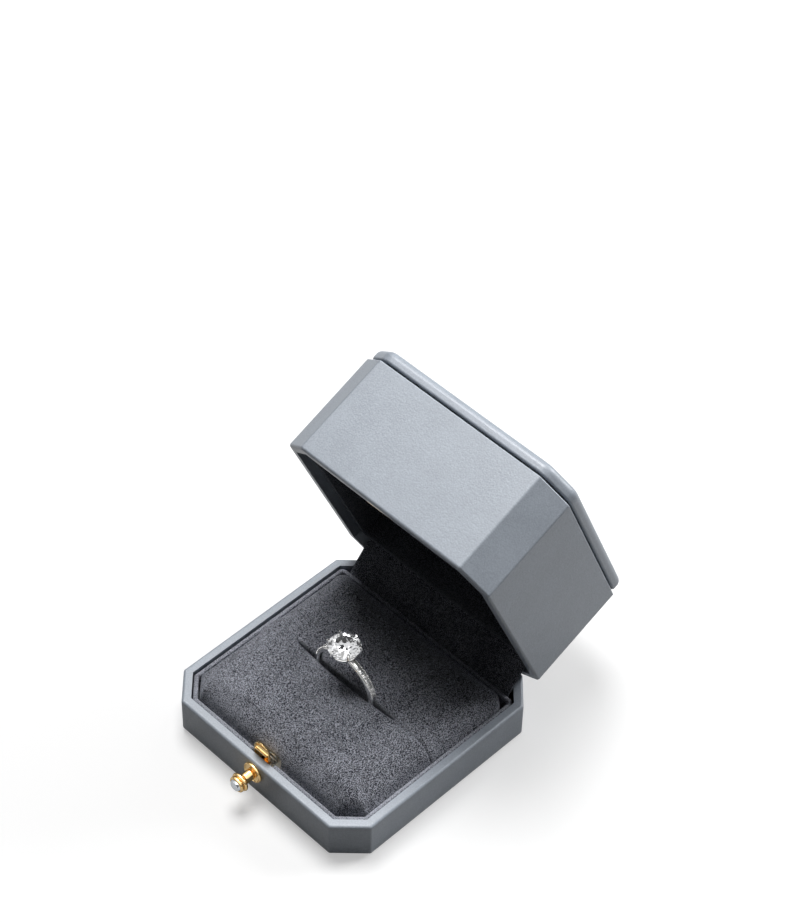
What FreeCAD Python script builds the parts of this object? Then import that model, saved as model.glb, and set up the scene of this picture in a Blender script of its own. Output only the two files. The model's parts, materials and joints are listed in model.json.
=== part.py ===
import FreeCAD, Part
import math
import os

# An eight-sided hinged ring box with a push-button latch, holding a solitaire ring.
# Millimetres. +Z is up, the latch faces -Y and +X is on the right seen from the front.
# The origin is the middle of the case's footprint, on the surface that it stands on.
# The lid is modelled shut and then swung open, because the box rests open.

V = FreeCAD.Vector
TINY = 1e-6
PAST = 1.0  # how far a cutting shape reaches past a face
WIRE_SIDES = 8  # thin wires are drawn with this many flats
SLOPE_45 = 2.0 - math.sqrt(2.0)  # how much a cut corner's leg shrinks for each mm of inset

# ---------------------------------------------------------------- case, base and lid
CASE_WIDTH = 62.0  # left to right, across the flats
CASE_DEPTH = 62.0  # front to back, across the flats
CORNER_CUT = 6.6  # leg of each cut corner, on the square outline
CORNER_ROUND = 0.8  # where two upright faces meet
WRAP = 0.4  # covering skin
WALL = 1.4  # moulded wall under the skin
RIM_ROUND = 0.7  # outer edge of a rim
FOOT_ROUND = 0.35  # lower edge of the base's covering
TURN_IN = 6.0  # how far the skin is turned over a rim and down inside
MARGIN = 3.6  # how far the skin is turned under the base and over the lid

FOOT_HEIGHT = 0.9  # bottom board, which the box stands on
FOOT_INSET = 0.9
RIM_HEIGHT = 10.9  # rim of the base
FLOOR = 1.2  # moulded floor of the base

RIM_GAP = 0.3  # between the two rims when shut
LID_WALLS = 26.8  # lid's rim to the shoulder at the top of its walls
CEILING = 1.6  # moulded top of the lid
SPACER_HEIGHT = 0.6  # recessed board between the walls and the cap
SPACER_INSET = 2.0
CAP_HEIGHT = 3.1
CAP_INSET = 0.4
CAP_CORNER_ROUND = 4.2
CAP_BULLNOSE = 1.7
CAP_EDGE_ROUND = 0.5

# ---------------------------------------------------------------- lining
SOFT_GAP = 0.3  # between a soft piece and its neighbour
COLLAR = 1.1  # covered card collar that stands inside the base
COLLAR_DROP = 1.0  # collar's top, below the rim
COLLAR_ROUND = 0.4  # edges of the collar's top
COLLAR_BACK_ROUND = 1.6  # back corners, outside
COLLAR_HOLE_ROUND = 0.5  # back corners, inside
HINGE_SPACE = 6.8  # behind the collar's back, to the back face of the case
LINER_RISE = 2.2  # lid liner's edge, inside the lid's rim
HATCH_PLAY = 0.9  # beside the catch, in the notch through the collar and the pad

PAD_BOARD = 0.8
PAD_CREST = 4.9  # top of the ring pads, above the rim
PAD_CROWN = 1.6  # rise of the crown over its rounded edge
PAD_DROP = 4.8  # height of the rounded edge
PAD_EDGE = 4.6  # how far in the rounded edge reaches
PAD_BACK_ROUND = 3.2
SLIT_SHIFT = 0.15  # ring slit, behind the middle of the pads
SLIT_GAP = 0.3  # where the two pads meet
SLIT_LIP = 1.3  # rounded edge of each pad along the slit
SLIT_LEFT_PAST = 7.65  # how far the slit opens beyond the ring
SLIT_RIGHT_PAST = 6.25

LID_PAD = 2.2
LID_PAD_ROUND = 1.2

# ---------------------------------------------------------------- hinge
OPEN_ANGLE = 67.0
HINGE_INSET = 0.6  # pin's axis, in from the back face
HINGE_DROP = 0.35  # pin's axis, below the base's rim
HINGE_LENGTH = 36.0
KNUCKLES = 5
KNUCKLE_GAP = 0.15
KNUCKLE_RADIUS = 0.8
PIN_RADIUS = 0.4
PIN_PLAY = 0.04
PIN_HEAD = 0.35
PIN_HEAD_RADIUS = 0.68
LEAF = 0.4  # thickness of the sheet metal
LEAF_LIFT = 0.85  # lower end of the base's leaf, above the floor
LEAF_PLAY = 0.05  # leaf to the wall that it lies on
HINGE_GAP = 0.25  # between the lid's pieces and the base's
RIVET_RADIUS = 0.6
RIVET_HEAD = 1.05
RIVET_DOME = 0.4
RIVET_SPACING = 24.0

BOW_WIDTH = 9.0
BOW_SHEET = 0.3
BOW_DOWN = 6.35  # lower end, below the hinge's axis
BOW_UP = 5.2  # upper end, from the hinge's axis along the lid's leaf
BOW_CROWN_IN = 3.2  # crown of the bow, in front of the hinge's axis
BOW_CROWN_UP = 0.45

FLAP_HALF = 26.0
FLAP_SHEET = 0.5
FLAP_TAIL = 5.0  # glued stretch at each end

# ---------------------------------------------------------------- latch
LATCH_DROP = 3.2  # button's axis, below the rim
PRESS_TRAVEL = 1.3
STEM_RADIUS = 1.35
STEM_PLAY = 0.05
STEM_FLARE = 1.65
FLARE_LENGTH = 0.9
FLARE_SWELL = 0.1  # the flare's hollow, as a share of its slope
SPIGOT_RADIUS = 0.9
SPIGOT_LENGTH = 0.45
BUSH_WALL = 0.4
FLANGE_RADIUS = 2.75
FLANGE_DEPTH = 0.8
FLANGE_ROUND = 0.35  # rounded outer edge
DISH_DEPTH = 0.45
DISH_FLAT = 0.25  # flat floor of the dish, round the bore
DISH_SWELL = 0.16  # the dish's hollow, as a share of its slope

KNOB_CLEARANCE = 1.6  # between the pressed knob and the flange
KNOB_RADIUS = 2.4
KNOB_LENGTH = 1.9
KNOB_ROUND = 0.5  # rounded back and front edges
KNOB_GROOVE = 0.3  # depth of the groove in front of the back bead
BEZEL_RADIUS = 2.1  # front bead, round the crystal
BEZEL_ROUND = 0.3
CRYSTAL_DIAMETER = 3.4
CRYSTAL_SEAT = 0.1

CATCH_WIDTH = 5.0
CATCH_SHEET = 0.8
CATCH_RISE = 4.5  # top of the arch, above the base's rim
CATCH_LIFT = 1.0  # foot of the plate, above the floor
CATCH_STANDOFF = 0.25  # plate to the inner face of the wall
CATCH_BORDER = 0.45
CATCH_HOLLOW = 0.5
HOLLOW_RISE = 1.3  # lower end of the hollow, above the button's axis
BEAK_HALF = 1.85
BEAK_RISE = 1.25  # underside of the beak, above the shut lid's rim
BEAK_HEIGHT = 1.3
BEAK_NOSE = 0.2
BEAK_REACH = 0.8
BEAK_SWELL = 0.05  # the ramp's rounding, as a share of its slope
CATCH_RIVET_RADIUS = 0.7
CATCH_RIVET_HEAD = 1.15
CATCH_RIVET_DOME = 0.35

STRIKE_SIDE = 1.7  # plate beside its window
STRIKE_BORDER = 0.9  # plate above and below its window
STRIKE_PLAY = 0.05
BEAK_PLAY = 0.35  # around the beak in the strike's window
POCKET_DEPTH = 0.75  # behind the strike plate, in the moulded wall

BRACKET_SHEET = 0.5
BRACKET_BACK = 3.6  # catch plate's back face to the bracket's upright
BRACKET_RISE = 2.3  # top of the upright, above the button's axis
BRACKET_CORNER = 0.9
EAR_HEIGHT = 3.6
EAR_LENGTH = 2.4
EAR_PLAY = 0.2
SPRING_RADIUS = 1.5  # middle of the wire
SPRING_WIRE = 0.4
SPRING_TURNS = 4.0
SPRING_SEAT = 1.1
SPRING_SEAT_LENGTH = 0.9
SPRING_PLAY = 0.02  # from each end coil to what it presses on

# ---------------------------------------------------------------- ring
RING_X = -0.3
RING_SINK = 0.7  # ring's middle, below the pads' crest
RING_INNER = 8.0
RING_BAND = 1.35
RING_WIDTH = 1.8
RING_DOME = 0.75  # rise of the band's outer face
RING_COMFORT = 0.35  # rise of the band's inner face
RING_PLAY = 0.3  # to the pad on each side
STONE_DIAMETER = 7.8
STONE_SIDE_X = -0.5  # from the ring's middle
HEAD_SINK = 0.1  # base of the head, inside the finger hole
HEAD_HEIGHT = 1.6
HEAD_WALL = 0.4
HEAD_LOW_RADIUS = 1.6
HEAD_HIGH_RADIUS = 2.3
SOCKET_PLAY = 0.4  # the band is opened this much wider than the head's top
GALLERY_RISE = 0.65  # gallery ring, above the top of the head's cup
GALLERY_WIRE = 0.26
GIRDLE_RISE = 2.3  # stone's girdle, above the top of the head's cup
PRONGS = 6
PRONG_RADIUS = 0.34
PRONG_FOOT = 0.3  # lower end of a prong, above the base of the head
PRONG_BITE = 0.19  # how far the stone's girdle goes into a prong
CLAW_RISE = 1.2  # how far a prong's claw stands above the girdle
CLAW_SHOULDER = 0.85  # from the girdle to where it starts to taper
CLAW_LEAN = 0.45  # and leans inwards over the crown
CLAW_TIP = 0.2  # radius at its end
PAVE_STONES = 7
PAVE_DIAMETER = 1.15
PAVE_SINK = 0.02  # girdle of a small stone, under the band's crest
PAVE_FIRST = 28.0  # degrees from the top
PAVE_STEP_ANGLE = 7.6  # degrees

# ---------------------------------------------------------------- sizes that follow
HALF_WIDTH = CASE_WIDTH / 2.0
HALF_DEPTH = CASE_DEPTH / 2.0
THICK = WRAP + WALL + WRAP  # whole wall at a rim
COVER_LOW = FOOT_HEIGHT  # lower edge of the base's covering
FLOOR_TOP = COVER_LOW + WRAP + FLOOR
LID_RIM = RIM_HEIGHT + RIM_GAP
LID_TOP = LID_RIM + LID_WALLS
CEILING_LOW = LID_TOP - WRAP - CEILING
SPACER_TOP = LID_TOP + SPACER_HEIGHT
CAP_TOP = SPACER_TOP + CAP_HEIGHT
FRONT = -HALF_DEPTH  # outer face of the front wall
FRONT_INSIDE = FRONT + THICK
BACK_INSIDE = HALF_DEPTH - THICK

COLLAR_INSET = THICK + SOFT_GAP
COLLAR_BACK = HALF_DEPTH - HINGE_SPACE
COLLAR_TOP = RIM_HEIGHT - COLLAR_DROP
LINER_LOW = LID_RIM + LINER_RISE
PAD_INSET = COLLAR_INSET + COLLAR + SOFT_GAP
PAD_FRONT = FRONT + PAD_INSET
PAD_BACK = COLLAR_BACK - COLLAR - SOFT_GAP
PAD_LOW = FLOOR_TOP + PAD_BOARD
PAD_TOP = RIM_HEIGHT + PAD_CREST
PAD_SHOULDER = PAD_TOP - PAD_CROWN
PAD_SIDE = PAD_SHOULDER - PAD_DROP  # top of the upright side
SLIT_Y = (PAD_FRONT + PAD_BACK) / 2.0 + SLIT_SHIFT

HINGE_Y = HALF_DEPTH - HINGE_INSET
HINGE_Z = RIM_HEIGHT - HINGE_DROP
LEAF_FACE = BACK_INSIDE - LEAF_PLAY - LEAF  # inner face of a leaf's upright part
LEAF_REACH = HINGE_Z - KNUCKLE_RADIUS - FLOOR_TOP - LEAF_LIFT  # upright part of each leaf
BASE_RIVET_Z = HINGE_Z - KNUCKLE_RADIUS - LEAF_REACH / 2.0
LID_RIVET_Z = HINGE_Z + KNUCKLE_RADIUS + LEAF_REACH / 2.0

LATCH_Z = RIM_HEIGHT - LATCH_DROP
CATCH_FRONT = FRONT_INSIDE + CATCH_STANDOFF
CATCH_BACK = CATCH_FRONT + CATCH_SHEET
CATCH_TOP = RIM_HEIGHT + CATCH_RISE
CATCH_FOOT = FLOOR_TOP + CATCH_LIFT
BEAK_LOW = LID_RIM + BEAK_RISE
BEAK_HIGH = BEAK_LOW + BEAK_HEIGHT
WINDOW_LOW = BEAK_LOW - BEAK_PLAY
WINDOW_HIGH = BEAK_HIGH + BEAK_PLAY
WINDOW_HALF = BEAK_HALF + BEAK_PLAY
HATCH_HALF = CATCH_WIDTH / 2.0 + HATCH_PLAY
HATCH_BACK = CATCH_BACK + PRESS_TRAVEL + SOFT_GAP
BRACKET_HALF = CATCH_WIDTH / 2.0 + EAR_PLAY + BRACKET_SHEET
BRACKET_FACE = CATCH_BACK + BRACKET_BACK
BRACKET_TOP = LATCH_Z + BRACKET_RISE
FLANGE_FACE = FRONT - FLANGE_DEPTH
KNOB_BACK = FLANGE_FACE - PRESS_TRAVEL - KNOB_CLEARANCE
KNOB_FRONT = KNOB_BACK - KNOB_LENGTH

RING_Z = PAD_TOP - RING_SINK
RING_OUTER = RING_INNER + RING_BAND
HEAD_X = RING_X + STONE_SIDE_X
HEAD_LOW = RING_INNER - HEAD_SINK  # from here on, heights above the ring's middle
HEAD_HIGH = HEAD_LOW + HEAD_HEIGHT
GALLERY = HEAD_HIGH + GALLERY_RISE
STONE_GIRDLE = HEAD_HIGH + GIRDLE_RISE


# ---------------------------------------------------------------- shared operations
def case_outline(inset, width_inset=None):
    """Corners of the eight-sided outline, moved inwards by inset."""
    x = HALF_WIDTH - inset
    y = HALF_DEPTH - inset
    cut = CORNER_CUT - SLOPE_45 * inset
    return [
        (x - cut, -y), (x, cut - y), (x, y - cut), (x - cut, y),
        (cut - x, y), (-x, y - cut), (-x, cut - y), (cut - x, -y),
    ]


def lining_outline(inset, back):
    """Corners of the lining's outline: cut corners in front and a straight back."""
    x = HALF_WIDTH - inset
    y = HALF_DEPTH - inset
    cut = CORNER_CUT - SLOPE_45 * inset
    return [(x - cut, -y), (x, cut - y), (x, back), (-x, back), (-x, cut - y), (cut - x, -y)]


def block(corners, low, high):
    """Upright prism between two heights."""
    ring = [V(x, y, low) for x, y in corners + corners[:1]]
    return Part.Face(Part.makePolygon(ring)).extrude(V(0, 0, high - low))


def box(x0, x1, y0, y1, z0, z1):
    """Box between two corners."""
    return Part.makeBox(x1 - x0, y1 - y0, z1 - z0, V(x0, y0, z0))


def upright_edges(solid, after_y=-1e9):
    """Edges along Z that lie behind the given y."""
    found = []
    for edge in solid.Edges:
        a = edge.Vertexes[0].Point
        b = edge.Vertexes[-1].Point
        level = abs(a.x - b.x) < TINY and abs(a.y - b.y) < TINY
        if level and abs(a.z - b.z) > TINY and a.y > after_y:
            found.append(edge)
    return found


def edges_at(solid, z):
    """Edges that lie wholly at one height."""
    return [e for e in solid.Edges if all(abs(v.Point.z - z) < TINY for v in e.Vertexes)]


def case_block(inset, low, high, corner=CORNER_ROUND, round_low=0.0, round_high=0.0):
    """Prism of the case's outline with rounded upright edges and, if wanted, rims."""
    solid = block(case_outline(inset), low, high)
    if corner > inset:
        solid = solid.makeFillet(corner - inset, upright_edges(solid))
    if round_high > 0:
        solid = solid.makeFillet(round_high, edges_at(solid, high))
    if round_low > 0:
        solid = solid.makeFillet(round_low, edges_at(solid, low))
    return solid


def lining_block(inset, back, low, high, back_round):
    """Prism of the lining's outline with rounded corners at the back."""
    solid = block(lining_outline(inset, back), low, high)
    return solid.makeFillet(back_round, upright_edges(solid, after_y=back - TINY))


def face_of(place, start, *steps):
    """Face of a closed profile. A step is a point, or a middle and an end for an arc."""
    edges = []
    here = start
    for step in steps:
        if isinstance(step[0], tuple):
            middle, there = step
            edges.append(Part.Arc(place(*here), place(*middle), place(*there)).toShape())
        else:
            there = step
            edges.append(Part.makeLine(place(*here), place(*there)))
        here = there
    edges.append(Part.makeLine(place(*here), place(*start)))
    return Part.Face(Part.Wire(edges))


def along_x(half, start, *steps):
    """Profile in y and z, extruded to both sides of the middle."""
    face = face_of(lambda y, z: V(-half, y, z), start, *steps)
    return face.extrude(V(2 * half, 0, 0))


def turned_on_latch(start, *steps):
    """Profile in radius and y, turned about the latch's axis."""
    face = face_of(lambda r, y: V(r, y, LATCH_Z), start, *steps)
    return face.revolve(V(0, 0, LATCH_Z), V(0, 1, 0), 360)


def turned_on_head(start, *steps):
    """Profile in radius and height above the ring's middle, turned about the stone's axis."""
    face = face_of(lambda r, h: V(HEAD_X + r, SLIT_Y, RING_Z + h), start, *steps)
    return face.revolve(V(HEAD_X, SLIT_Y, 0), V(0, 0, 1), 360)


def swell(start, end, share):
    """Middle of an arc that leaves its chord to the left by a share of the chord's length."""
    along = (end[0] - start[0], end[1] - start[1])
    middle = ((start[0] + end[0]) / 2.0, (start[1] + end[1]) / 2.0)
    return middle[0] - share * along[1], middle[1] + share * along[0]


def wire_corners(radius):
    """Corners of a thin wire's section whose flats lie at the given radius."""
    corner = radius / math.cos(math.pi / WIRE_SIDES)
    turns = [2 * math.pi * (index + 0.5) / WIRE_SIDES for index in range(WIRE_SIDES)]
    return [(corner * math.cos(turn), corner * math.sin(turn)) for turn in turns]


def dome_middle(radius, height):
    """Middle of the arc from a dome's rim to its crown, as radius and height above the rim."""
    ball = (radius ** 2 + height ** 2) / (2.0 * height)
    half = math.asin(radius / ball) / 2.0
    return ball * math.sin(half), height - ball * (1.0 - math.cos(half))


def opened(shape):
    """Swing a piece of the shut lid to its resting place."""
    turned = shape.copy()
    turned.rotate(V(0, HINGE_Y, HINGE_Z), V(1, 0, 0), -OPEN_ANGLE)
    return turned


def opened_point(y, z):
    """Where a point of the shut lid rests, in y and z."""
    spot = FreeCAD.Rotation(V(1, 0, 0), -OPEN_ANGLE).multVec(V(0, y - HINGE_Y, z - HINGE_Z))
    return spot.y + HINGE_Y, spot.z + HINGE_Z


def facet_cut(stone, size, slope, turn, reach, height, side):
    """Remove what lies outside one facet plane. side is 1 above the girdle and -1 below."""
    slab = Part.makeBox(size, size, size, V(-size / 2.0, -size / 2.0, 0 if side > 0 else -size))
    slab.rotate(V(0, 0, 0), V(0, 1, 0), slope * side)
    slab.translate(V(reach, 0, height))
    slab.rotate(V(0, 0, 0), V(0, 0, 1), turn)
    return stone.cut(slab)


def gem_planes(diameter, mains, halves, crown, pavilion, table, girdle):
    """Facet planes of a brilliant: slope, turn, reach, height and side of each.

    Star facets lie flatter than the crown's main facets and the halves steeper, in degrees.
    """
    star_flatter = 13.0
    upper_steeper = 7.0
    lower_steeper = 1.6
    radius = diameter / 2.0
    edge = girdle * radius
    top = crown * diameter
    low = pavilion * diameter
    rim = table * radius
    crown_slope = math.degrees(math.atan2(top - edge, radius - rim))
    pavilion_slope = math.degrees(math.atan2(low - edge, radius))
    planes = []
    for index in range(mains):
        turn = 360.0 * index / mains
        planes.append((crown_slope, turn, radius, edge, 1))
        planes.append((pavilion_slope, turn, radius, -edge, -1))
        if halves:
            flat = rim * math.cos(math.pi / mains / 2.0) ** 2  # middle of the table's edge
            planes.append((crown_slope - star_flatter, turn + 180.0 / mains, flat, top, 1))
    if halves:
        for index in range(2 * mains):
            turn = 180.0 * (index + 0.5) / mains
            planes.append((crown_slope + upper_steeper, turn, radius, edge / 2.0, 1))
            planes.append((pavilion_slope + lower_steeper, turn, radius, -edge / 2.0, -1))
    return planes


def brilliant(diameter, mains, halves=True, crown=0.15, pavilion=0.43, table=0.56, girdle=0.03):
    """Brilliant cut by its facet planes, with the girdle at the origin and the table up.

    With halves it has a round girdle and all 57 facets. Without, it is a small single cut
    with a girdle of flats.
    """
    radius = diameter / 2.0
    low = pavilion * diameter
    height = low + crown * diameter
    if halves:
        stone = Part.makeCylinder(radius, height, V(0, 0, -low))
    else:
        turns = [math.pi * (index + 0.5) / mains for index in range(2 * mains)]
        stone = block([(radius * math.cos(a), radius * math.sin(a)) for a in turns], -low, height - low)
    planes = gem_planes(diameter, mains, halves, crown, pavilion, table, girdle)
    for slope, turn, reach, level, side in planes:
        stone = facet_cut(stone, 6 * diameter, slope, turn, reach, level, side)
    return stone


# ---------------------------------------------------------------- cuts shared by several pieces
def hinge_room():
    """Space through both back walls for the knuckles and the leaves."""
    half = HINGE_LENGTH / 2.0 + PIN_HEAD + HINGE_GAP
    deep = KNUCKLE_RADIUS + HINGE_GAP
    return box(-half, half, BACK_INSIDE - PAST, HALF_DEPTH + PAST, HINGE_Z - deep, HINGE_Z + deep)


def bush_hole():
    """Round hole through the front wall for the flange's bush."""
    radius = STEM_RADIUS + STEM_PLAY + BUSH_WALL
    return Part.makeCylinder(radius, THICK + 2 * PAST, V(0, FRONT - PAST, LATCH_Z), V(0, 1, 0))


def catch_hatch(low, high):
    """Notch for the catch through what stands behind the front wall."""
    return box(-HATCH_HALF, HATCH_HALF, FRONT_INSIDE, HATCH_BACK, low, high)


def bracket_space(low, high):
    """Space of the latch bracket, below the given height."""
    half = BRACKET_HALF + SOFT_GAP
    return box(-half, half, FRONT, BRACKET_FACE + BRACKET_SHEET + SOFT_GAP, low, high)


def strike_seat(grow=0.0):
    """Space of the strike plate, in the shut lid's front wall."""
    half = WINDOW_HALF + STRIKE_SIDE + grow
    low = WINDOW_LOW - STRIKE_BORDER - grow
    high = WINDOW_HIGH + STRIKE_BORDER + grow
    return box(-half, half, FRONT_INSIDE - WRAP, FRONT_INSIDE, low, high)


def beak_window(deep):
    """Space that the beak enters, from the inner face of the shut lid's front wall."""
    return box(-WINDOW_HALF, WINDOW_HALF, FRONT_INSIDE - deep, FRONT_INSIDE, WINDOW_LOW, WINDOW_HIGH)


def leaf_rivet_holes(z):
    """Holes for the rivets that hold a hinge leaf to its wall."""
    holes = []
    start = LEAF_FACE - PAST
    for side in (-1, 1):
        spot = V(side * RIVET_SPACING / 2.0, start, z)
        holes.append(Part.makeCylinder(RIVET_RADIUS, BACK_INSIDE + WRAP + WALL - start, spot, V(0, 1, 0)))
    return Part.makeCompound(holes)


# ---------------------------------------------------------------- base
def base_shell():
    """Moulded tray: floor, walls, latch hole and hinge notch."""
    low = COVER_LOW + WRAP
    shell = case_block(WRAP, low, RIM_HEIGHT - WRAP)
    shell = shell.fuse(case_block(WRAP + MARGIN, COVER_LOW, low))
    shell = shell.cut(case_block(WRAP + WALL, FLOOR_TOP, RIM_HEIGHT))
    shell = shell.cut(bush_hole())
    shell = shell.cut(hinge_room())
    return shell.cut(leaf_rivet_holes(BASE_RIVET_Z)).removeSplitter()


def base_wrap():
    """Covering skin: over the outside, over the rim, down inside and under the edge."""
    skin = case_block(0.0, COVER_LOW, RIM_HEIGHT, round_low=FOOT_ROUND, round_high=RIM_ROUND)
    inner = RIM_HEIGHT - WRAP
    core = case_block(WRAP, COVER_LOW + WRAP, inner)
    turned = case_block(WRAP + WALL, RIM_HEIGHT - TURN_IN, inner)
    skin = skin.cut(core.cut(turned))
    skin = skin.cut(case_block(THICK, COVER_LOW, RIM_HEIGHT + PAST))
    skin = skin.cut(case_block(WRAP + MARGIN, COVER_LOW - PAST, COVER_LOW + 2 * WRAP))
    skin = skin.cut(bush_hole())
    skin = skin.cut(hinge_room())
    return skin.cut(leaf_rivet_holes(BASE_RIVET_Z))


def bottom_board():
    """Covered board under the base, which the box stands on."""
    return case_block(FOOT_INSET, 0.0, FOOT_HEIGHT)


def collar():
    """Covered card collar round the pads, with a notch for the catch."""
    ring = lining_block(COLLAR_INSET, COLLAR_BACK, FLOOR_TOP, COLLAR_TOP, COLLAR_BACK_ROUND)
    ring = ring.makeFillet(COLLAR_ROUND, edges_at(ring, COLLAR_TOP))
    inner = COLLAR_INSET + COLLAR
    hole = lining_block(inner, COLLAR_BACK - COLLAR, FLOOR_TOP, COLLAR_TOP, COLLAR_HOLE_ROUND)
    return ring.cut(hole).cut(catch_hatch(FLOOR_TOP, COLLAR_TOP))


def pad_board():
    """Card under the pads, notched for the latch bracket."""
    board = lining_block(PAD_INSET, PAD_BACK, FLOOR_TOP, PAD_LOW, PAD_BACK_ROUND)
    return board.cut(bracket_space(FLOOR_TOP, PAD_LOW))


def pad_form():
    """Crowned block of both pads, before the slit parts them."""
    side = HALF_WIDTH - PAD_INSET
    bulge = PAD_EDGE * (1.0 - math.sqrt(0.5))
    rise = PAD_DROP * math.sqrt(0.5)
    lengthwise = along_x(
        side, (PAD_FRONT, PAD_LOW), (PAD_FRONT, PAD_SIDE),
        ((PAD_FRONT + bulge, PAD_SIDE + rise), (PAD_FRONT + PAD_EDGE, PAD_SHOULDER)),
        (((PAD_FRONT + PAD_BACK) / 2.0, PAD_TOP), (PAD_BACK - PAD_EDGE, PAD_SHOULDER)),
        ((PAD_BACK - bulge, PAD_SIDE + rise), (PAD_BACK, PAD_SIDE)),
        (PAD_BACK, PAD_LOW),
    )
    across = face_of(
        lambda x, z: V(x, PAD_FRONT, z),
        (-side, PAD_LOW), (-side, PAD_SIDE),
        ((bulge - side, PAD_SIDE + rise), (PAD_EDGE - side, PAD_SHOULDER)),
        ((0.0, PAD_TOP), (side - PAD_EDGE, PAD_SHOULDER)),
        ((side - bulge, PAD_SIDE + rise), (side, PAD_SIDE)),
        (side, PAD_LOW),
    ).extrude(V(0, PAD_BACK - PAD_FRONT, 0))
    plan = lining_block(PAD_INSET, PAD_BACK, PAD_LOW, PAD_TOP + PAST, PAD_BACK_ROUND)
    return plan.common(lengthwise).common(across)


def pad_half(side):
    """One pad: 1 behind the slit, -1 in front of it, hollowed where a ring goes in."""
    face = SLIT_Y + side * SLIT_GAP / 2.0
    top = PAD_TOP + PAST
    far = SLIT_Y + side * CASE_DEPTH
    lip = face + side * SLIT_LIP
    bend = SLIT_LIP * (1.0 - math.sqrt(0.5))
    keep = along_x(
        HALF_WIDTH, (face, PAD_LOW), (face, PAD_TOP - SLIT_LIP),
        ((face + side * bend, PAD_TOP - bend), (lip, PAD_TOP)),
        (lip, top), (far, top), (far, PAD_LOW),
    )
    room = RING_WIDTH / 2.0 + RING_PLAY
    left = RING_X - RING_OUTER - SLIT_LEFT_PAST
    right = RING_X + RING_OUTER + SLIT_RIGHT_PAST
    hollow = box(left, right, SLIT_Y - room, SLIT_Y + room, PAD_LOW, top)
    return pad_form().common(keep).cut(hollow)


def pad_front():
    """Front ring pad, cut away for the catch and the latch bracket."""
    pad = pad_half(-1)
    pad = pad.cut(catch_hatch(PAD_LOW, PAD_TOP))
    return pad.cut(bracket_space(PAD_LOW, BRACKET_TOP + SOFT_GAP))


def pad_rear():
    """Rear ring pad."""
    return pad_half(1)


# ---------------------------------------------------------------- hinge
def on_hinge(radius, start, finish):
    """Cylinder on the hinge's axis."""
    return Part.makeCylinder(radius, finish - start, V(start, HINGE_Y, HINGE_Z), V(1, 0, 0))


def knuckle_span(index):
    """Ends of one knuckle along the pin."""
    pitch = HINGE_LENGTH / KNUCKLES
    start = -HINGE_LENGTH / 2.0 + index * pitch
    return start + KNUCKLE_GAP / 2.0, start + pitch - KNUCKLE_GAP / 2.0


def hinge_leaf(side):
    """Cranked leaf with rolled knuckles: -1 in the base, 1 in the shut lid."""
    half = HINGE_LENGTH / 2.0
    roll = HINGE_Z + side * KNUCKLE_RADIUS  # outer face of the crank
    inner = roll - side * LEAF
    end = roll + side * LEAF_REACH
    stop = HINGE_Y - KNUCKLE_RADIUS - HINGE_GAP
    leaf = along_x(
        half, (LEAF_FACE, end), (LEAF_FACE, inner), (stop, inner), (stop, roll),
        (LEAF_FACE + LEAF, roll), (LEAF_FACE + LEAF, end),
    )
    low, high = sorted((inner, roll))
    for index in range(0 if side < 0 else 1, KNUCKLES, 2):
        start, finish = knuckle_span(index)
        leaf = leaf.fuse(box(start, finish, stop, HINGE_Y, low, high))
        leaf = leaf.fuse(on_hinge(KNUCKLE_RADIUS, start, finish))
    bore = on_hinge(PIN_RADIUS + PIN_PLAY, -half - PAST, half + PAST)
    rivet_z = BASE_RIVET_Z if side < 0 else LID_RIVET_Z
    return leaf.cut(bore).cut(leaf_rivet_holes(rivet_z)).removeSplitter()


def hinge_pin():
    """Pin through all knuckles, with a peened head at each end."""
    half = HINGE_LENGTH / 2.0
    pin = on_hinge(PIN_RADIUS, -half, half)
    for start in (-half - PIN_HEAD, half):
        pin = pin.fuse(on_hinge(PIN_HEAD_RADIUS, start, start + PIN_HEAD))
    return pin.removeSplitter()


def leaf_rivets(z):
    """Domed rivets that hold a leaf to its wall."""
    rivets = []
    end = BACK_INSIDE + WRAP + WALL
    middle, rise = dome_middle(RIVET_HEAD, RIVET_DOME)
    for side in (-1, 1):
        x = side * RIVET_SPACING / 2.0
        profile = face_of(
            lambda r, y: V(x + r, y, z), (0.0, end), (RIVET_RADIUS, end), (RIVET_RADIUS, LEAF_FACE),
            (RIVET_HEAD, LEAF_FACE), ((middle, LEAF_FACE - rise), (0.0, LEAF_FACE - RIVET_DOME)),
        )
        rivets.append(profile.revolve(V(x, 0, z), V(0, 1, 0), 360))
    return Part.makeCompound(rivets)


def bow_spring():
    """Bowed strip between the two leaves that snaps the lid past its middle."""
    foot = LEAF_FACE - BOW_SHEET / 2.0 - LEAF_PLAY
    low = (foot, HINGE_Z - BOW_DOWN)
    crown = (HINGE_Y - BOW_CROWN_IN, HINGE_Z + BOW_CROWN_UP)
    high = opened_point(foot, HINGE_Z + BOW_UP)
    circle = Part.Arc(V(0, *low), V(0, *crown), V(0, *high)).toShape().Curve
    centre = circle.Center
    radius = circle.Radius
    half = BOW_SHEET / 2.0

    def moved(point, grow):
        out = V(0, *point) - centre
        out.multiply((radius + grow) / out.Length)
        spot = centre + out
        return spot.y, spot.z

    return along_x(
        BOW_WIDTH / 2.0, moved(low, half), (moved(crown, half), moved(high, half)),
        moved(high, -half), (moved(crown, -half), moved(low, -half)),
    )


def flap_route(offset):
    """Points of the flap's section, moved sideways from the face of the lining."""
    back = COLLAR_BACK + LEAF_PLAY + offset
    low = (back, COLLAR_TOP - FLAP_TAIL)
    bend = (back, COLLAR_TOP)
    edge = opened_point(back, LINER_LOW)
    high = opened_point(back, LINER_LOW + FLAP_TAIL)
    return low, bend, edge, high


def hinge_flap():
    """Soft flap that hides the hinge, from the collar's back to the lid liner's back."""
    near = flap_route(0.0)
    far = flap_route(FLAP_SHEET)
    return along_x(FLAP_HALF, near[0], *near[1:], *reversed(far))


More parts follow.
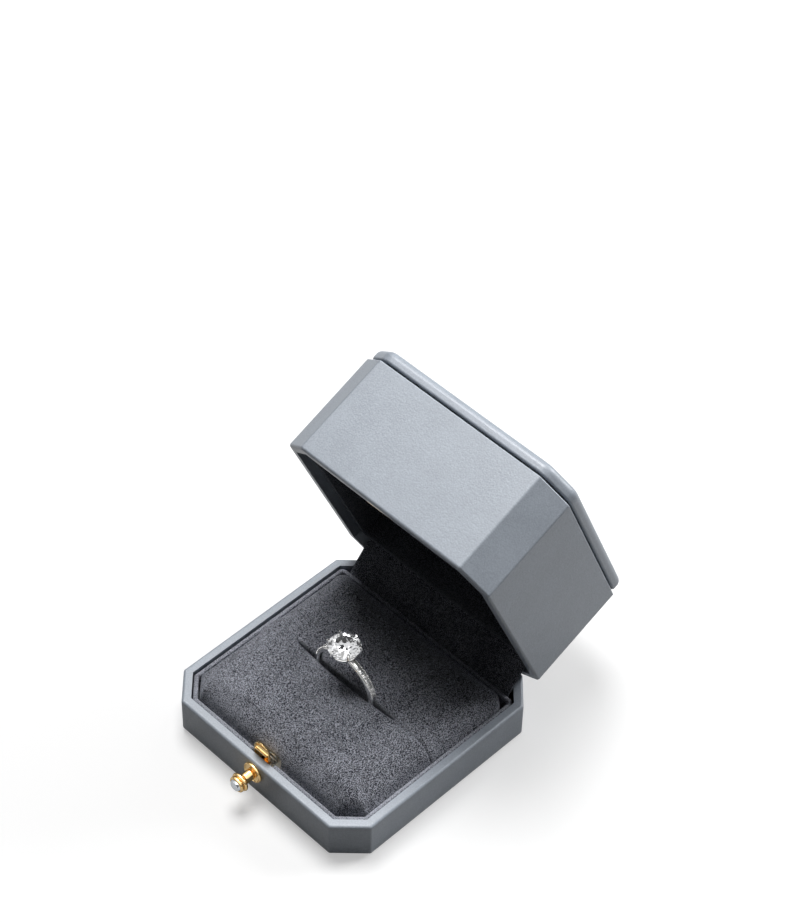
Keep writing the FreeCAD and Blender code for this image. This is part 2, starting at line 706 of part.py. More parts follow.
# ---------------------------------------------------------------- latch
def latch_flange():
    """Dished flange with a bush through the front wall."""
    bore = STEM_RADIUS + STEM_PLAY
    bush = bore + BUSH_WALL
    edge = FLANGE_RADIUS - FLANGE_ROUND
    lip = (edge, FLANGE_FACE)
    floor = (bore + DISH_FLAT, FLANGE_FACE + DISH_DEPTH)
    return turned_on_latch(
        (bore, FRONT_INSIDE), (bush, FRONT_INSIDE), (bush, FRONT), (edge, FRONT),
        ((FLANGE_RADIUS, FRONT - FLANGE_DEPTH / 2.0), lip),
        (swell(lip, floor, -DISH_SWELL), floor), (bore, floor[1]),
    )


def latch_stem():
    """Sliding stem, flared towards the knob and riveted into the catch plate."""
    spigot = KNOB_BACK - SPIGOT_LENGTH
    wide = (STEM_FLARE, KNOB_BACK)
    narrow = (STEM_RADIUS, KNOB_BACK + FLARE_LENGTH)
    middle, rise = dome_middle(CATCH_RIVET_HEAD, CATCH_RIVET_DOME)
    return turned_on_latch(
        (0.0, spigot), (SPIGOT_RADIUS, spigot), (SPIGOT_RADIUS, KNOB_BACK), wide,
        (swell(wide, narrow, FLARE_SWELL), narrow),
        (STEM_RADIUS, CATCH_FRONT), (CATCH_RIVET_RADIUS, CATCH_FRONT), (CATCH_RIVET_RADIUS, CATCH_BACK),
        (CATCH_RIVET_HEAD, CATCH_BACK), ((middle, CATCH_BACK + rise), (0.0, CATCH_BACK + CATCH_RIVET_DOME)),
    )


def latch_crystal():
    """Faceted crystal in the knob's face."""
    stone = brilliant(CRYSTAL_DIAMETER, 8, halves=False, pavilion=0.3, table=0.5)
    stone.rotate(V(0, 0, 0), V(1, 0, 0), 90)
    stone.translate(V(0, KNOB_FRONT + CRYSTAL_SEAT, LATCH_Z))
    return stone


def latch_knob(crystal):
    """Knob of two beads with a seat for the crystal."""
    middle = (KNOB_BACK + KNOB_FRONT) / 2.0
    end = KNOB_RADIUS - KNOB_ROUND
    waist = BEZEL_RADIUS - KNOB_GROOVE
    rim = BEZEL_RADIUS - BEZEL_ROUND
    spigot = KNOB_BACK - SPIGOT_LENGTH
    knob = turned_on_latch(
        (0.0, spigot), (SPIGOT_RADIUS, spigot), (SPIGOT_RADIUS, KNOB_BACK), (end, KNOB_BACK),
        ((KNOB_RADIUS, (KNOB_BACK + middle) / 2.0), (waist, middle)),
        ((BEZEL_RADIUS, (KNOB_FRONT + middle) / 2.0), (rim, KNOB_FRONT)), (0.0, KNOB_FRONT),
    )
    return knob.cut(crystal)


def catch_outline(inset, y, low):
    """Arched outline of the catch plate, moved inwards by inset."""
    half = CATCH_WIDTH / 2.0
    radius = half - inset
    centre = CATCH_TOP - half
    return face_of(
        lambda x, z: V(x, y, z), (-radius, low), (radius, low), (radius, centre),
        ((0.0, centre + radius), (-radius, centre)),
    )


def catch_plate():
    """Arched catch with a raised border and a beak that holds the lid."""
    plate = catch_outline(0.0, CATCH_FRONT, CATCH_FOOT).extrude(V(0, CATCH_SHEET, 0))
    hollow = catch_outline(CATCH_BORDER, CATCH_FRONT, LATCH_Z + HOLLOW_RISE).extrude(V(0, CATCH_HOLLOW, 0))
    plate = plate.cut(hollow)
    floor = CATCH_FRONT + CATCH_HOLLOW
    reach = CATCH_FRONT - BEAK_REACH
    nose = (reach, BEAK_LOW + BEAK_NOSE)
    root = (floor, BEAK_HIGH)
    plate = plate.fuse(along_x(
        BEAK_HALF, (floor, BEAK_LOW), (reach, BEAK_LOW), nose, (swell(nose, root, BEAK_SWELL), root),
    ))
    hole = Part.makeCylinder(CATCH_RIVET_RADIUS, 2 * PAST, V(0, CATCH_FRONT - PAST, LATCH_Z), V(0, 1, 0))
    return plate.cut(hole)


def latch_bracket():
    """Bracket on the tray's floor: seat for the spring and ears that keep the catch upright."""
    top = FLOOR_TOP + BRACKET_SHEET
    back = BRACKET_FACE + BRACKET_SHEET
    bracket = box(-BRACKET_HALF, BRACKET_HALF, CATCH_FRONT, back, FLOOR_TOP, top)
    bracket = bracket.fuse(box(-BRACKET_HALF, BRACKET_HALF, BRACKET_FACE, back, top, BRACKET_TOP))
    bracket = bracket.makeFillet(BRACKET_CORNER, [e for e in bracket.Edges if upper_corner(e)])
    for side in (-1, 1):
        x0, x1 = sorted((side * (BRACKET_HALF - BRACKET_SHEET), side * BRACKET_HALF))
        bracket = bracket.fuse(box(x0, x1, CATCH_FRONT, CATCH_FRONT + EAR_LENGTH, top, top + EAR_HEIGHT))
    start = V(0, BRACKET_FACE - SPRING_SEAT_LENGTH, LATCH_Z)
    seat = Part.makeCylinder(SPRING_SEAT, SPRING_SEAT_LENGTH, start, V(0, 1, 0))
    return bracket.fuse(seat).removeSplitter()


def upper_corner(edge):
    """Whether an edge of the bracket is one of its two upper corners."""
    a = edge.Vertexes[0].Point
    b = edge.Vertexes[-1].Point
    return abs(a.x - b.x) < TINY and min(a.z, b.z) > BRACKET_TOP - TINY


def return_spring():
    """Coil spring between the catch plate and the bracket."""
    gap = SPRING_WIRE / 2.0 + SPRING_PLAY
    start = CATCH_BACK + gap
    length = BRACKET_FACE - gap - start
    path = Part.makeHelix(length / SPRING_TURNS, length, SPRING_RADIUS)
    corners = [V(SPRING_RADIUS + x, 0, z) for x, z in wire_corners(SPRING_WIRE / 2.0)]
    section = Part.makePolygon(corners + corners[:1])
    coil = Part.Wire(path.Edges).makePipeShell([section], True, True)
    coil.rotate(V(0, 0, 0), V(1, 0, 0), -90)
    coil.translate(V(0, start, LATCH_Z))
    return coil


# ---------------------------------------------------------------- lid
def lid_shell():
    """Moulded hood of the lid, shut."""
    low = LID_RIM + WRAP
    high = LID_TOP - WRAP
    shell = case_block(WRAP, low, high)
    shell = shell.fuse(case_block(WRAP + MARGIN, high, LID_TOP))
    shell = shell.cut(case_block(WRAP + WALL, LID_RIM, CEILING_LOW))
    shell = shell.cut(beak_window(WRAP + POCKET_DEPTH))
    shell = shell.cut(hinge_room())
    return shell.cut(leaf_rivet_holes(LID_RIVET_Z)).removeSplitter()


def lid_wrap():
    """Covering skin of the lid, shut."""
    skin = case_block(0.0, LID_RIM, LID_TOP, round_low=RIM_ROUND, round_high=FOOT_ROUND)
    inner = LID_RIM + WRAP
    core = case_block(WRAP, inner, LID_TOP - WRAP)
    turned = case_block(WRAP + WALL, inner, LID_RIM + TURN_IN)
    skin = skin.cut(core.cut(turned))
    skin = skin.cut(case_block(THICK, LID_RIM - PAST, LID_TOP - WRAP))
    skin = skin.cut(case_block(WRAP + MARGIN, LID_TOP - 2 * WRAP, LID_TOP + PAST))
    skin = skin.cut(strike_seat(grow=STRIKE_PLAY))
    skin = skin.cut(hinge_room())
    return skin.cut(leaf_rivet_holes(LID_RIVET_Z))


def strike_plate():
    """Plate with a window that the beak catches in, let into the lid's front wall."""
    return strike_seat().cut(beak_window(2 * WRAP))


def lid_spacer():
    """Recessed board between the lid's walls and the cap."""
    return case_block(SPACER_INSET, LID_TOP, SPACER_TOP)


def cap_form(grow_inset, low, high, corner, low_round, high_round):
    """Block of the cap's outline with rounded edges."""
    solid = block(case_outline(CAP_INSET + grow_inset), low, high)
    solid = solid.makeFillet(corner, upright_edges(solid))
    solid = solid.makeFillet(high_round, edges_at(solid, high))
    return solid.makeFillet(low_round, edges_at(solid, low))


def cap_board():
    """Board inside the cap, shut."""
    return cap_form(
        WRAP, SPACER_TOP + WRAP, CAP_TOP - WRAP, CAP_CORNER_ROUND - WRAP,
        CAP_EDGE_ROUND - WRAP, CAP_BULLNOSE - WRAP,
    )


def cap_wrap():
    """Covering skin of the cap, shut."""
    skin = cap_form(0.0, SPACER_TOP, CAP_TOP, CAP_CORNER_ROUND, CAP_EDGE_ROUND, CAP_BULLNOSE)
    skin = skin.cut(cap_board())
    return skin.cut(case_block(CAP_INSET + WRAP + MARGIN, SPACER_TOP - PAST, SPACER_TOP + 2 * WRAP))


def lid_liner():
    """Covered card cup inside the lid, shut, with a notch for the catch."""
    cup = lining_block(COLLAR_INSET, COLLAR_BACK, LINER_LOW, CEILING_LOW, COLLAR_BACK_ROUND)
    inner = COLLAR_INSET + COLLAR
    back = COLLAR_BACK - COLLAR
    cup = cup.cut(lining_block(inner, back, LINER_LOW, CEILING_LOW - COLLAR, COLLAR_HOLE_ROUND))
    return cup.cut(catch_hatch(LINER_LOW, CATCH_TOP + 2 * SOFT_GAP))


def lid_pad():
    """Cushion under the lid's ceiling, shut."""
    high = CEILING_LOW - COLLAR
    pad = lining_block(PAD_INSET, PAD_BACK, high - LID_PAD, high, COLLAR_BACK_ROUND)
    return pad.makeFillet(LID_PAD_ROUND, edges_at(pad, high - LID_PAD))


# ---------------------------------------------------------------- ring
def centre_stone():
    """Round brilliant held by the head."""
    stone = brilliant(STONE_DIAMETER, 8)
    stone.translate(V(HEAD_X, SLIT_Y, RING_Z + STONE_GIRDLE))
    return stone


def pave_turns():
    """Angles of the small stones from the top of the ring, both shoulders."""
    shoulder = [PAVE_FIRST + index * PAVE_STEP_ANGLE for index in range(PAVE_STONES)]
    return [-turn for turn in shoulder] + shoulder


def pave_stones():
    """Small stones set along both shoulders."""
    stones = []
    seed = brilliant(PAVE_DIAMETER, 6, halves=False)
    for turn in pave_turns():
        stone = seed.copy()
        stone.translate(V(0, 0, RING_OUTER - PAVE_SINK))
        stone.rotate(V(0, 0, 0), V(0, 1, 0), turn)
        stone.translate(V(RING_X, SLIT_Y, RING_Z))
        stones.append(stone)
    return Part.makeCompound(stones)


def ring_shank(stones):
    """Domed band with a comfort-fit inside, open for the head and seated for the small stones."""
    half = RING_WIDTH / 2.0
    inside = RING_INNER + RING_COMFORT
    outside = RING_OUTER - RING_DOME
    section = face_of(
        lambda r, y: V(RING_X + r, SLIT_Y + y, RING_Z), (inside, -half), ((RING_INNER, 0.0), (inside, half)),
        (outside, half), ((RING_OUTER, 0.0), (outside, -half)),
    )
    band = section.revolve(V(RING_X, SLIT_Y, RING_Z), V(0, 1, 0), 360)
    socket = Part.makeCone(
        HEAD_LOW_RADIUS, HEAD_HIGH_RADIUS + SOCKET_PLAY, HEAD_HEIGHT, V(HEAD_X, SLIT_Y, RING_Z + HEAD_LOW))
    band = band.cut(socket)
    for stone in stones.Solids:
        band = band.cut(stone)
    return band


def prong(foot_radius, foot, girdle_radius):
    """One prong on the head's axis: a leaning wire, bent at the girdle into a tapered claw."""
    share = CLAW_SHOULDER / CLAW_RISE
    stations = [
        (foot_radius, foot, PRONG_RADIUS),
        (girdle_radius, STONE_GIRDLE, PRONG_RADIUS),
        (girdle_radius - share ** 2 * CLAW_LEAN, STONE_GIRDLE + CLAW_SHOULDER, PRONG_RADIUS),
        (girdle_radius - CLAW_LEAN, STONE_GIRDLE + CLAW_RISE, CLAW_TIP),
    ]
    rings = []
    for x, z, radius in stations:
        corners = [V(x + dx, dy, z) for dx, dy in wire_corners(radius)]
        rings.append(Part.makePolygon(corners + corners[:1]))
    return Part.makeLoft(rings, True, True)


def ring_head(stone):
    """Tapered cup, gallery ring and prongs that hold the stone."""
    head = turned_on_head(
        (HEAD_LOW_RADIUS - HEAD_WALL, HEAD_LOW), (HEAD_LOW_RADIUS, HEAD_LOW),
        (HEAD_HIGH_RADIUS, HEAD_HIGH), (HEAD_HIGH_RADIUS - HEAD_WALL, HEAD_HIGH),
    )
    foot = HEAD_LOW + PRONG_FOOT
    foot_radius = HEAD_LOW_RADIUS + PRONG_FOOT * (HEAD_HIGH_RADIUS - HEAD_LOW_RADIUS) / HEAD_HEIGHT
    girdle_radius = STONE_DIAMETER / 2.0 + PRONG_RADIUS - PRONG_BITE
    lean = (girdle_radius - foot_radius) / (STONE_GIRDLE - foot)
    gallery_radius = foot_radius + lean * (GALLERY - foot)
    wire = [(gallery_radius + x, GALLERY + z) for x, z in wire_corners(GALLERY_WIRE)]
    head = head.fuse(turned_on_head(*wire))
    claw = prong(foot_radius, foot, girdle_radius)
    for index in range(PRONGS):
        turned = claw.copy()
        turned.rotate(V(0, 0, 0), V(0, 0, 1), 360.0 * (index + 0.5) / PRONGS)
        turned.translate(V(HEAD_X, SLIT_Y, RING_Z))
        head = head.fuse(turned)
    return head.cut(stone)


# ---------------------------------------------------------------- write the pieces
def build():
    """Every piece by the name of its node, at rest."""
    crystal = latch_crystal()
    stone = centre_stone()
    small_stones = pave_stones()
    head = ring_head(stone)
    return {
        "bottom_board": bottom_board(),
        "base_shell": base_shell(),
        "base_wrap": base_wrap(),
        "base_collar": collar(),
        "pad_board": pad_board(),
        "pad_front": pad_front(),
        "pad_rear": pad_rear(),
        "hinge_base_leaf": hinge_leaf(-1),
        "hinge_lid_leaf": opened(hinge_leaf(1)),
        "hinge_pin": hinge_pin(),
        "hinge_base_rivets": leaf_rivets(BASE_RIVET_Z),
        "hinge_lid_rivets": opened(leaf_rivets(LID_RIVET_Z)),
        "hinge_bow_spring": bow_spring(),
        "hinge_flap": hinge_flap(),
        "latch_flange": latch_flange(),
        "latch_bracket": latch_bracket(),
        "latch_return_spring": return_spring(),
        "latch_stem": latch_stem(),
        "latch_knob": latch_knob(crystal),
        "latch_crystal": crystal,
        "latch_catch": catch_plate(),
        "lid_shell": opened(lid_shell()),
        "lid_wrap": opened(lid_wrap()),
        "lid_strike_plate": opened(strike_plate()),
        "lid_spacer": opened(lid_spacer()),
        "lid_cap_board": opened(cap_board()),
        "lid_cap_wrap": opened(cap_wrap()),
        "lid_liner": opened(lid_liner()),
        "lid_pad": opened(lid_pad()),
        "ring_shank": ring_shank(small_stones).cut(head),
        "ring_head": head,
        "ring_centre_stone": stone,
        "ring_small_stones": small_stones,
    }


os.makedirs("parts", exist_ok=True)
for node, shape in build().items():
    shape.exportStep("parts/" + node + ".step")
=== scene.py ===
"""Looks of an eight-sided hinged ring box with a push-button latch, holding a solitaire ring.

Everything is in metres in the part's frame: +Z up, the latch faces -Y, and the box rests open.
The lid's lining is built as if the lid were shut and is then swung open about the hinge.
"""

import json
import logging
import math
from collections.abc import Callable
from dataclasses import dataclass, field
from enum import Enum

import bmesh
import bpy
from mathutils import Matrix, Vector, noise

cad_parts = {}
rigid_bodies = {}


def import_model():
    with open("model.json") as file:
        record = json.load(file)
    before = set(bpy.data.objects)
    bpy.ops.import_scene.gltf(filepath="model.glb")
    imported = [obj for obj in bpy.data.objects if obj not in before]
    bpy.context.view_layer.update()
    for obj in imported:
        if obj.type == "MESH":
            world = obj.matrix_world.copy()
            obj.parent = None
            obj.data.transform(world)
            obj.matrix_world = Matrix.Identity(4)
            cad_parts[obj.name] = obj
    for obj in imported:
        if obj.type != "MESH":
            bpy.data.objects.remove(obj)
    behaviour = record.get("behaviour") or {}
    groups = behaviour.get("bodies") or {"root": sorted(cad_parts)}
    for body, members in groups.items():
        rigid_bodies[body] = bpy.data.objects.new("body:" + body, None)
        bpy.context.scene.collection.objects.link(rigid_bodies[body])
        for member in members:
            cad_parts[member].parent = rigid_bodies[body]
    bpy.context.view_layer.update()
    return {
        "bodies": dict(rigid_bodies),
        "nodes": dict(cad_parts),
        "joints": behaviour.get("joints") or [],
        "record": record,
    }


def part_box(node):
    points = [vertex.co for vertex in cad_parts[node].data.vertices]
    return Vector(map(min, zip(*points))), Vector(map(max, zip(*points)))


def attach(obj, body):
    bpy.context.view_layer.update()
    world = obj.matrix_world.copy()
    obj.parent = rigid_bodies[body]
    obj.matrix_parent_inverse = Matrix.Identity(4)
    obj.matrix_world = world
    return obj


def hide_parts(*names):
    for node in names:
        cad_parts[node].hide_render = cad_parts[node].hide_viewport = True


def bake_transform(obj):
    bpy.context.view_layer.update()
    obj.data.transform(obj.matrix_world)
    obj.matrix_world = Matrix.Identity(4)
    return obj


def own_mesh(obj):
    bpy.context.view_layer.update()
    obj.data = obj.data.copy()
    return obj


MM = 0.001
TINY = 1e-7  # points closer than this count as one
LEVEL = 0.9  # a face lies level when the upright part of its normal is more than this
SHANK_RADIUS = 9.14 * MM  # outside, from the ring's centre
HIGHLIGHT_EDGE = 0.8 * MM  # how far from a covered edge the painted highlight reaches
log = logging.getLogger("ring_box")

Colour = tuple[float, float, float]
Triple = tuple[float, float, float]
Pairs = tuple[tuple[float, float], ...]
Piece = bpy.types.Object
Socket = bpy.types.NodeSocket


# ------------------------------------------------------------------ node trees and finishes
class Tree:
    """A node tree that is put together one step at a time."""

    def __init__(self, owner: bpy.types.Material | bpy.types.World, output: str) -> None:
        """Start with nothing but the output.

        Args:
            owner: the material or world that the tree belongs to.
            output: kind of its output node.
        """
        owner.use_nodes = True
        self.nodes = owner.node_tree.nodes
        self.links = owner.node_tree.links
        self.nodes.clear()
        self.output = self.nodes.new(output)

    def ramp(self, value: Socket, low: float, high: float, start: float, end: float) -> Socket:
        """Map low..high to start..end, clamped.

        Args:
            value: what is mapped.
            low: value that gives start.
            high: value that gives end.
            start: first result.
            end: last result.

        Returns:
            The mapped value.
        """
        node = self.nodes.new("ShaderNodeMapRange")
        for name, number in (("From Min", low), ("From Max", high), ("To Min", start), ("To Max", end)):
            node.inputs[name].default_value = number
        self.links.new(value, node.inputs["Value"])
        return node.outputs["Result"]


class Recipe(Tree):
    """The node material of a finish."""

    def __init__(self, name: str) -> None:
        """Start an empty material with its surface shader.

        Args:
            name: the material's name.
        """
        self.material = bpy.data.materials.new(name)
        super().__init__(self.material, "ShaderNodeOutputMaterial")
        self.shader = self.nodes.new("ShaderNodeBsdfPrincipled")
        self.links.new(self.shader.outputs["BSDF"], self.output.inputs["Surface"])
        self.place = self.nodes.new("ShaderNodeTexCoord").outputs["Object"]

    def set(self, **values: object) -> None:
        """Set sockets of the shader; an underscore in a name stands for a space."""
        for name, value in values.items():
            self.shader.inputs[name.replace("_", " ")].default_value = value

    def stretched(self, scale: Triple, turn: float = 0.0) -> Socket:
        """Scale and turn the coordinates.

        Args:
            scale: factor along each axis.
            turn: turn about Z in radians.

        Returns:
            The coordinates' socket.
        """
        mapping = self.nodes.new("ShaderNodeMapping")
        mapping.inputs["Scale"].default_value = scale
        mapping.inputs["Rotation"].default_value = (0.0, 0.0, turn)
        self.links.new(self.place, mapping.inputs["Vector"])
        return mapping.outputs["Vector"]

    def noise(
        self, size: float, detail: float = 2.0, rough: float = 0.5, place: Socket | None = None,
    ) -> Socket:
        """Cloudy pattern.

        Args:
            size: size of its largest features in metres.
            detail: how many finer layers it has.
            rough: how strong the finer layers are.
            place: coordinates to use instead of the plain ones.

        Returns:
            The pattern's value, about 0 to 1.
        """
        texture = self.nodes.new("ShaderNodeTexNoise")
        texture.inputs["Scale"].default_value = 1.0 / size
        texture.inputs["Detail"].default_value = detail
        texture.inputs["Roughness"].default_value = rough
        self.links.new(place or self.place, texture.inputs["Vector"])
        return texture.outputs["Fac"]

    def pebbles(self, size: float) -> Socket:
        """Pattern of small rounded cells.

        Args:
            size: width of a cell in metres.

        Returns:
            How far a point is from the middle of its cell, about 0 to 1.
        """
        texture = self.nodes.new("ShaderNodeTexVoronoi")
        texture.feature = "SMOOTH_F1"
        texture.inputs["Scale"].default_value = 1.0 / size
        self.links.new(self.place, texture.inputs["Vector"])
        return texture.outputs["Distance"]

    def sum(self, first: Socket, second: Socket, share: float) -> Socket:
        """Add a share of one value to another.

        Args:
            first: the value that counts in full.
            second: the value that is added.
            share: how much of it is added.

        Returns:
            The sum.
        """
        node = self.nodes.new("ShaderNodeMath")
        node.operation = "MULTIPLY_ADD"
        node.inputs[1].default_value = share
        self.links.new(second, node.inputs[0])
        self.links.new(first, node.inputs[2])
        return node.outputs["Value"]

    def blend(self, value: Socket, dark: Colour, light: Colour) -> Socket:
        """Mix two colours by a value.

        Args:
            value: 0 for the dark colour, 1 for the light one.
            dark: the dark colour.
            light: the light colour.

        Returns:
            The mixed colour.
        """
        node = self.nodes.new("ShaderNodeMix")
        node.data_type = "RGBA"
        self.links.new(value, node.inputs["Factor"])
        node.inputs[6].default_value = (*dark, 1.0)
        node.inputs[7].default_value = (*light, 1.0)
        return node.outputs[2]

    def relief(self, height: Socket, depth: float) -> Socket:
        """Bump from a height.

        Args:
            height: the height, about 0 to 1.
            depth: metres that 1 stands for.

        Returns:
            The normal's socket.
        """
        node = self.nodes.new("ShaderNodeBump")
        node.inputs["Strength"].default_value = 1.0
        node.inputs["Distance"].default_value = depth
        self.links.new(height, node.inputs["Height"])
        return node.outputs["Normal"]

    def painted(self, attribute: str) -> Socket:
        """Read a value that a piece carries at its points.

        Args:
            attribute: the value's name on the piece.

        Returns:
            The value.
        """
        node = self.nodes.new("ShaderNodeAttribute")
        node.attribute_name = attribute
        return node.outputs["Fac"]

    def feed(self, socket: Socket, name: str) -> None:
        """Link a value to one of the shader's sockets."""
        self.links.new(socket, self.shader.inputs[name])


class RayTree(Tree):
    """A look that differs from one kind of ray to the next."""

    def backdrop(self, level: float) -> Socket:
        """Plain background.

        Args:
            level: its grey level.

        Returns:
            The shader's socket.
        """
        background = self.nodes.new("ShaderNodeBackground")
        background.inputs["Color"].default_value = (level, level, level, 1.0)
        return background.outputs["Background"]

    def glowing(self, grey: float, glow: float) -> Socket:
        """Matt surface with a glow of its own.

        Args:
            grey: how much light it throws back.
            glow: how much it adds.

        Returns:
            The shader's socket.
        """
        matt = self.nodes.new("ShaderNodeBsdfDiffuse")
        matt.inputs["Color"].default_value = (grey, grey, grey, 1.0)
        light = self.nodes.new("ShaderNodeEmission")
        light.inputs["Strength"].default_value = glow
        both = self.nodes.new("ShaderNodeAddShader")
        self.links.new(matt.outputs["BSDF"], both.inputs[0])
        self.links.new(light.outputs["Emission"], both.inputs[1])
        return both.outputs["Shader"]

    def show(self, plain: Socket, looks: dict[str, Socket]) -> None:
        """Let each kind of ray meet its own look.

        Args:
            plain: what all other rays meet.
            looks: what the named rays meet.
        """
        path = self.nodes.new("ShaderNodeLightPath")
        shown = plain
        for ray, look in looks.items():
            mix = self.nodes.new("ShaderNodeMixShader")
            self.links.new(path.outputs[ray], mix.inputs["Fac"])
            self.links.new(shown, mix.inputs[1])
            self.links.new(look, mix.inputs[2])
            shown = mix.outputs["Shader"]
        self.links.new(shown, self.output.inputs["Surface"])


@dataclass(frozen=True)
class Leatherette:
    """Matt coated paper or leatherette with a fine pebbled grain."""

    name: str = "leatherette_finish"
    dark: Colour = (0.268, 0.300, 0.345)
    light: Colour = (0.346, 0.384, 0.436)
    cloud: float = 7 * MM
    fleck: float = 0.35 * MM
    grain: float = 0.42 * MM
    grain_depth: float = 0.014 * MM

    def make(self) -> bpy.types.Material:
        """Build the material.

        Returns:
            The material.
        """
        recipe = Recipe(self.name)
        cloud = recipe.noise(self.cloud, detail=4.0)
        fleck = recipe.noise(self.fleck, detail=2.0, rough=0.7)
        tone = recipe.ramp(cloud, 0.3, 0.7, 0.15, 0.65)
        shade = recipe.sum(tone, recipe.ramp(fleck, 0.35, 0.65, -0.5, 0.5), 0.9)
        recipe.feed(recipe.blend(shade, self.dark, self.light), "Base Color")
        height = recipe.sum(recipe.ramp(recipe.pebbles(self.grain), 0.1, 0.75, 1.0, 0.0), fleck, 0.35)
        recipe.feed(recipe.relief(height, self.grain_depth), "Normal")
        recipe.feed(recipe.ramp(cloud, 0.3, 0.7, 0.34, 0.42), "Roughness")
        recipe.set(Specular_IOR_Level=0.7)
        return recipe.material


@dataclass(frozen=True)
class Suede:
    """Short brushed nap, speckled, with a painted highlight along edges and painted shade where a piece is
    marked.
    """

    name: str = "suede_finish"
    dark: Colour = (0.005, 0.006, 0.009)
    light: Colour = (0.440, 0.455, 0.515)
    fibre: float = 0.15 * MM
    tuft: float = 0.8 * MM
    stroke: float = 9 * MM
    comb: Triple = (1.0, 0.42, 0.8)  # the nap is drawn out where this is small
    comb_turn: float = 0.30  # radians
    sheen: float = 0.30
    depth: float = 0.08 * MM

    def make(self) -> bpy.types.Material:
        """Build the material.

        Returns:
            The material.
        """
        recipe = Recipe(self.name)
        combed = recipe.stretched(self.comb, turn=self.comb_turn)
        nap = recipe.noise(self.fibre, detail=1.0, rough=0.7, place=combed)
        tuft = recipe.noise(self.tuft, detail=2.0, rough=0.6, place=combed)
        brushed = recipe.noise(self.stroke, detail=1.0, place=combed)
        tufts = recipe.ramp(tuft, 0.3, 0.7, -0.5, 0.5)
        shade = recipe.sum(recipe.ramp(nap, 0.42, 0.62, 0.0, 1.0), tufts, 0.14)
        shade = recipe.sum(shade, recipe.ramp(brushed, 0.3, 0.7, -0.5, 0.5), 0.22)
        # painted light: points marked above 0 get a painted highlight, points below 0 get painted shade
        shade = recipe.sum(shade, recipe.painted("painted_light"), 0.35)
        recipe.feed(recipe.blend(shade, self.dark, self.light), "Base Color")
        recipe.feed(recipe.relief(recipe.sum(nap, tuft, 0.5), self.depth), "Normal")
        recipe.set(
            Roughness=0.95, Specular_IOR_Level=0.12, Sheen_Weight=self.sheen, Sheen_Roughness=0.5,
            Sheen_Tint=(0.72, 0.76, 0.86, 1.0),
        )
        return recipe.material


@dataclass(frozen=True)
class Metal:
    """Polished or brushed metal with faint handling marks."""

    name: str
    colour: Colour
    rough: float
    marks: float = 0.05
    cloud: float = 1.6 * MM
    ripple: float = 0.5 * MM
    ripple_depth: float = 0.0006 * MM

    def make(self) -> bpy.types.Material:
        """Build the material.

        Returns:
            The material.
        """
        recipe = Recipe(self.name)
        cloud = recipe.noise(self.cloud, detail=4.0, rough=0.6)
        recipe.feed(recipe.ramp(cloud, 0.35, 0.7, self.rough, self.rough + self.marks), "Roughness")
        dull = tuple(0.9 * part for part in self.colour)
        recipe.feed(recipe.blend(recipe.ramp(cloud, 0.3, 0.7, 0.0, 1.0), dull, self.colour), "Base Color")
        recipe.feed(recipe.relief(recipe.noise(self.ripple), self.ripple_depth), "Normal")
        recipe.set(Metallic=1.0)
        return recipe.material


@dataclass(frozen=True)
class Gem:
    """Clear cut stone, which may carry a faint painted glow or have a mirroring foil behind it."""

    name: str
    ior: float
    inner: float = 0.0  # brightness of its own: a painted glow
    foil: float = 0.0  # how far a foil behind it mirrors
    tint: Colour = (0.97, 0.98, 1.0)

    def make(self) -> bpy.types.Material:
        """Build the material.

        Returns:
            The material.
        """
        recipe = Recipe(self.name)
        recipe.set(Base_Color=(*self.tint, 1.0), Roughness=0.0, IOR=self.ior, Transmission_Weight=1.0)
        # the painted glow goes in as emission
        recipe.set(Emission_Color=(*self.tint, 1.0), Emission_Strength=self.inner, Metallic=self.foil)
        return recipe.material


@dataclass(frozen=True)
class Board:
    """Pressed card or moulded pulp with short fibres."""

    name: str
    dark: Colour
    light: Colour
    rough: float = 0.85
    fibre: float = 0.6 * MM
    fibre_turn: float = 0.9  # radians
    fibre_depth: float = 0.02 * MM
    cloud: float = 6 * MM

    def make(self) -> bpy.types.Material:
        """Build the material.

        Returns:
            The material.
        """
        recipe = Recipe(self.name)
        drawn = recipe.stretched((1.0, 0.3, 1.0), turn=self.fibre_turn)
        fibres = recipe.noise(self.fibre, detail=4.0, rough=0.7, place=drawn)
        cloud = recipe.ramp(recipe.noise(self.cloud), 0.3, 0.7, -0.3, 0.3)
        shade = recipe.sum(recipe.ramp(fibres, 0.3, 0.7, 0.0, 1.0), cloud, 1.0)
        recipe.feed(recipe.blend(shade, self.dark, self.light), "Base Color")
        recipe.feed(recipe.relief(fibres, self.fibre_depth), "Normal")
        recipe.set(Roughness=self.rough, Specular_IOR_Level=0.3)
        return recipe.material


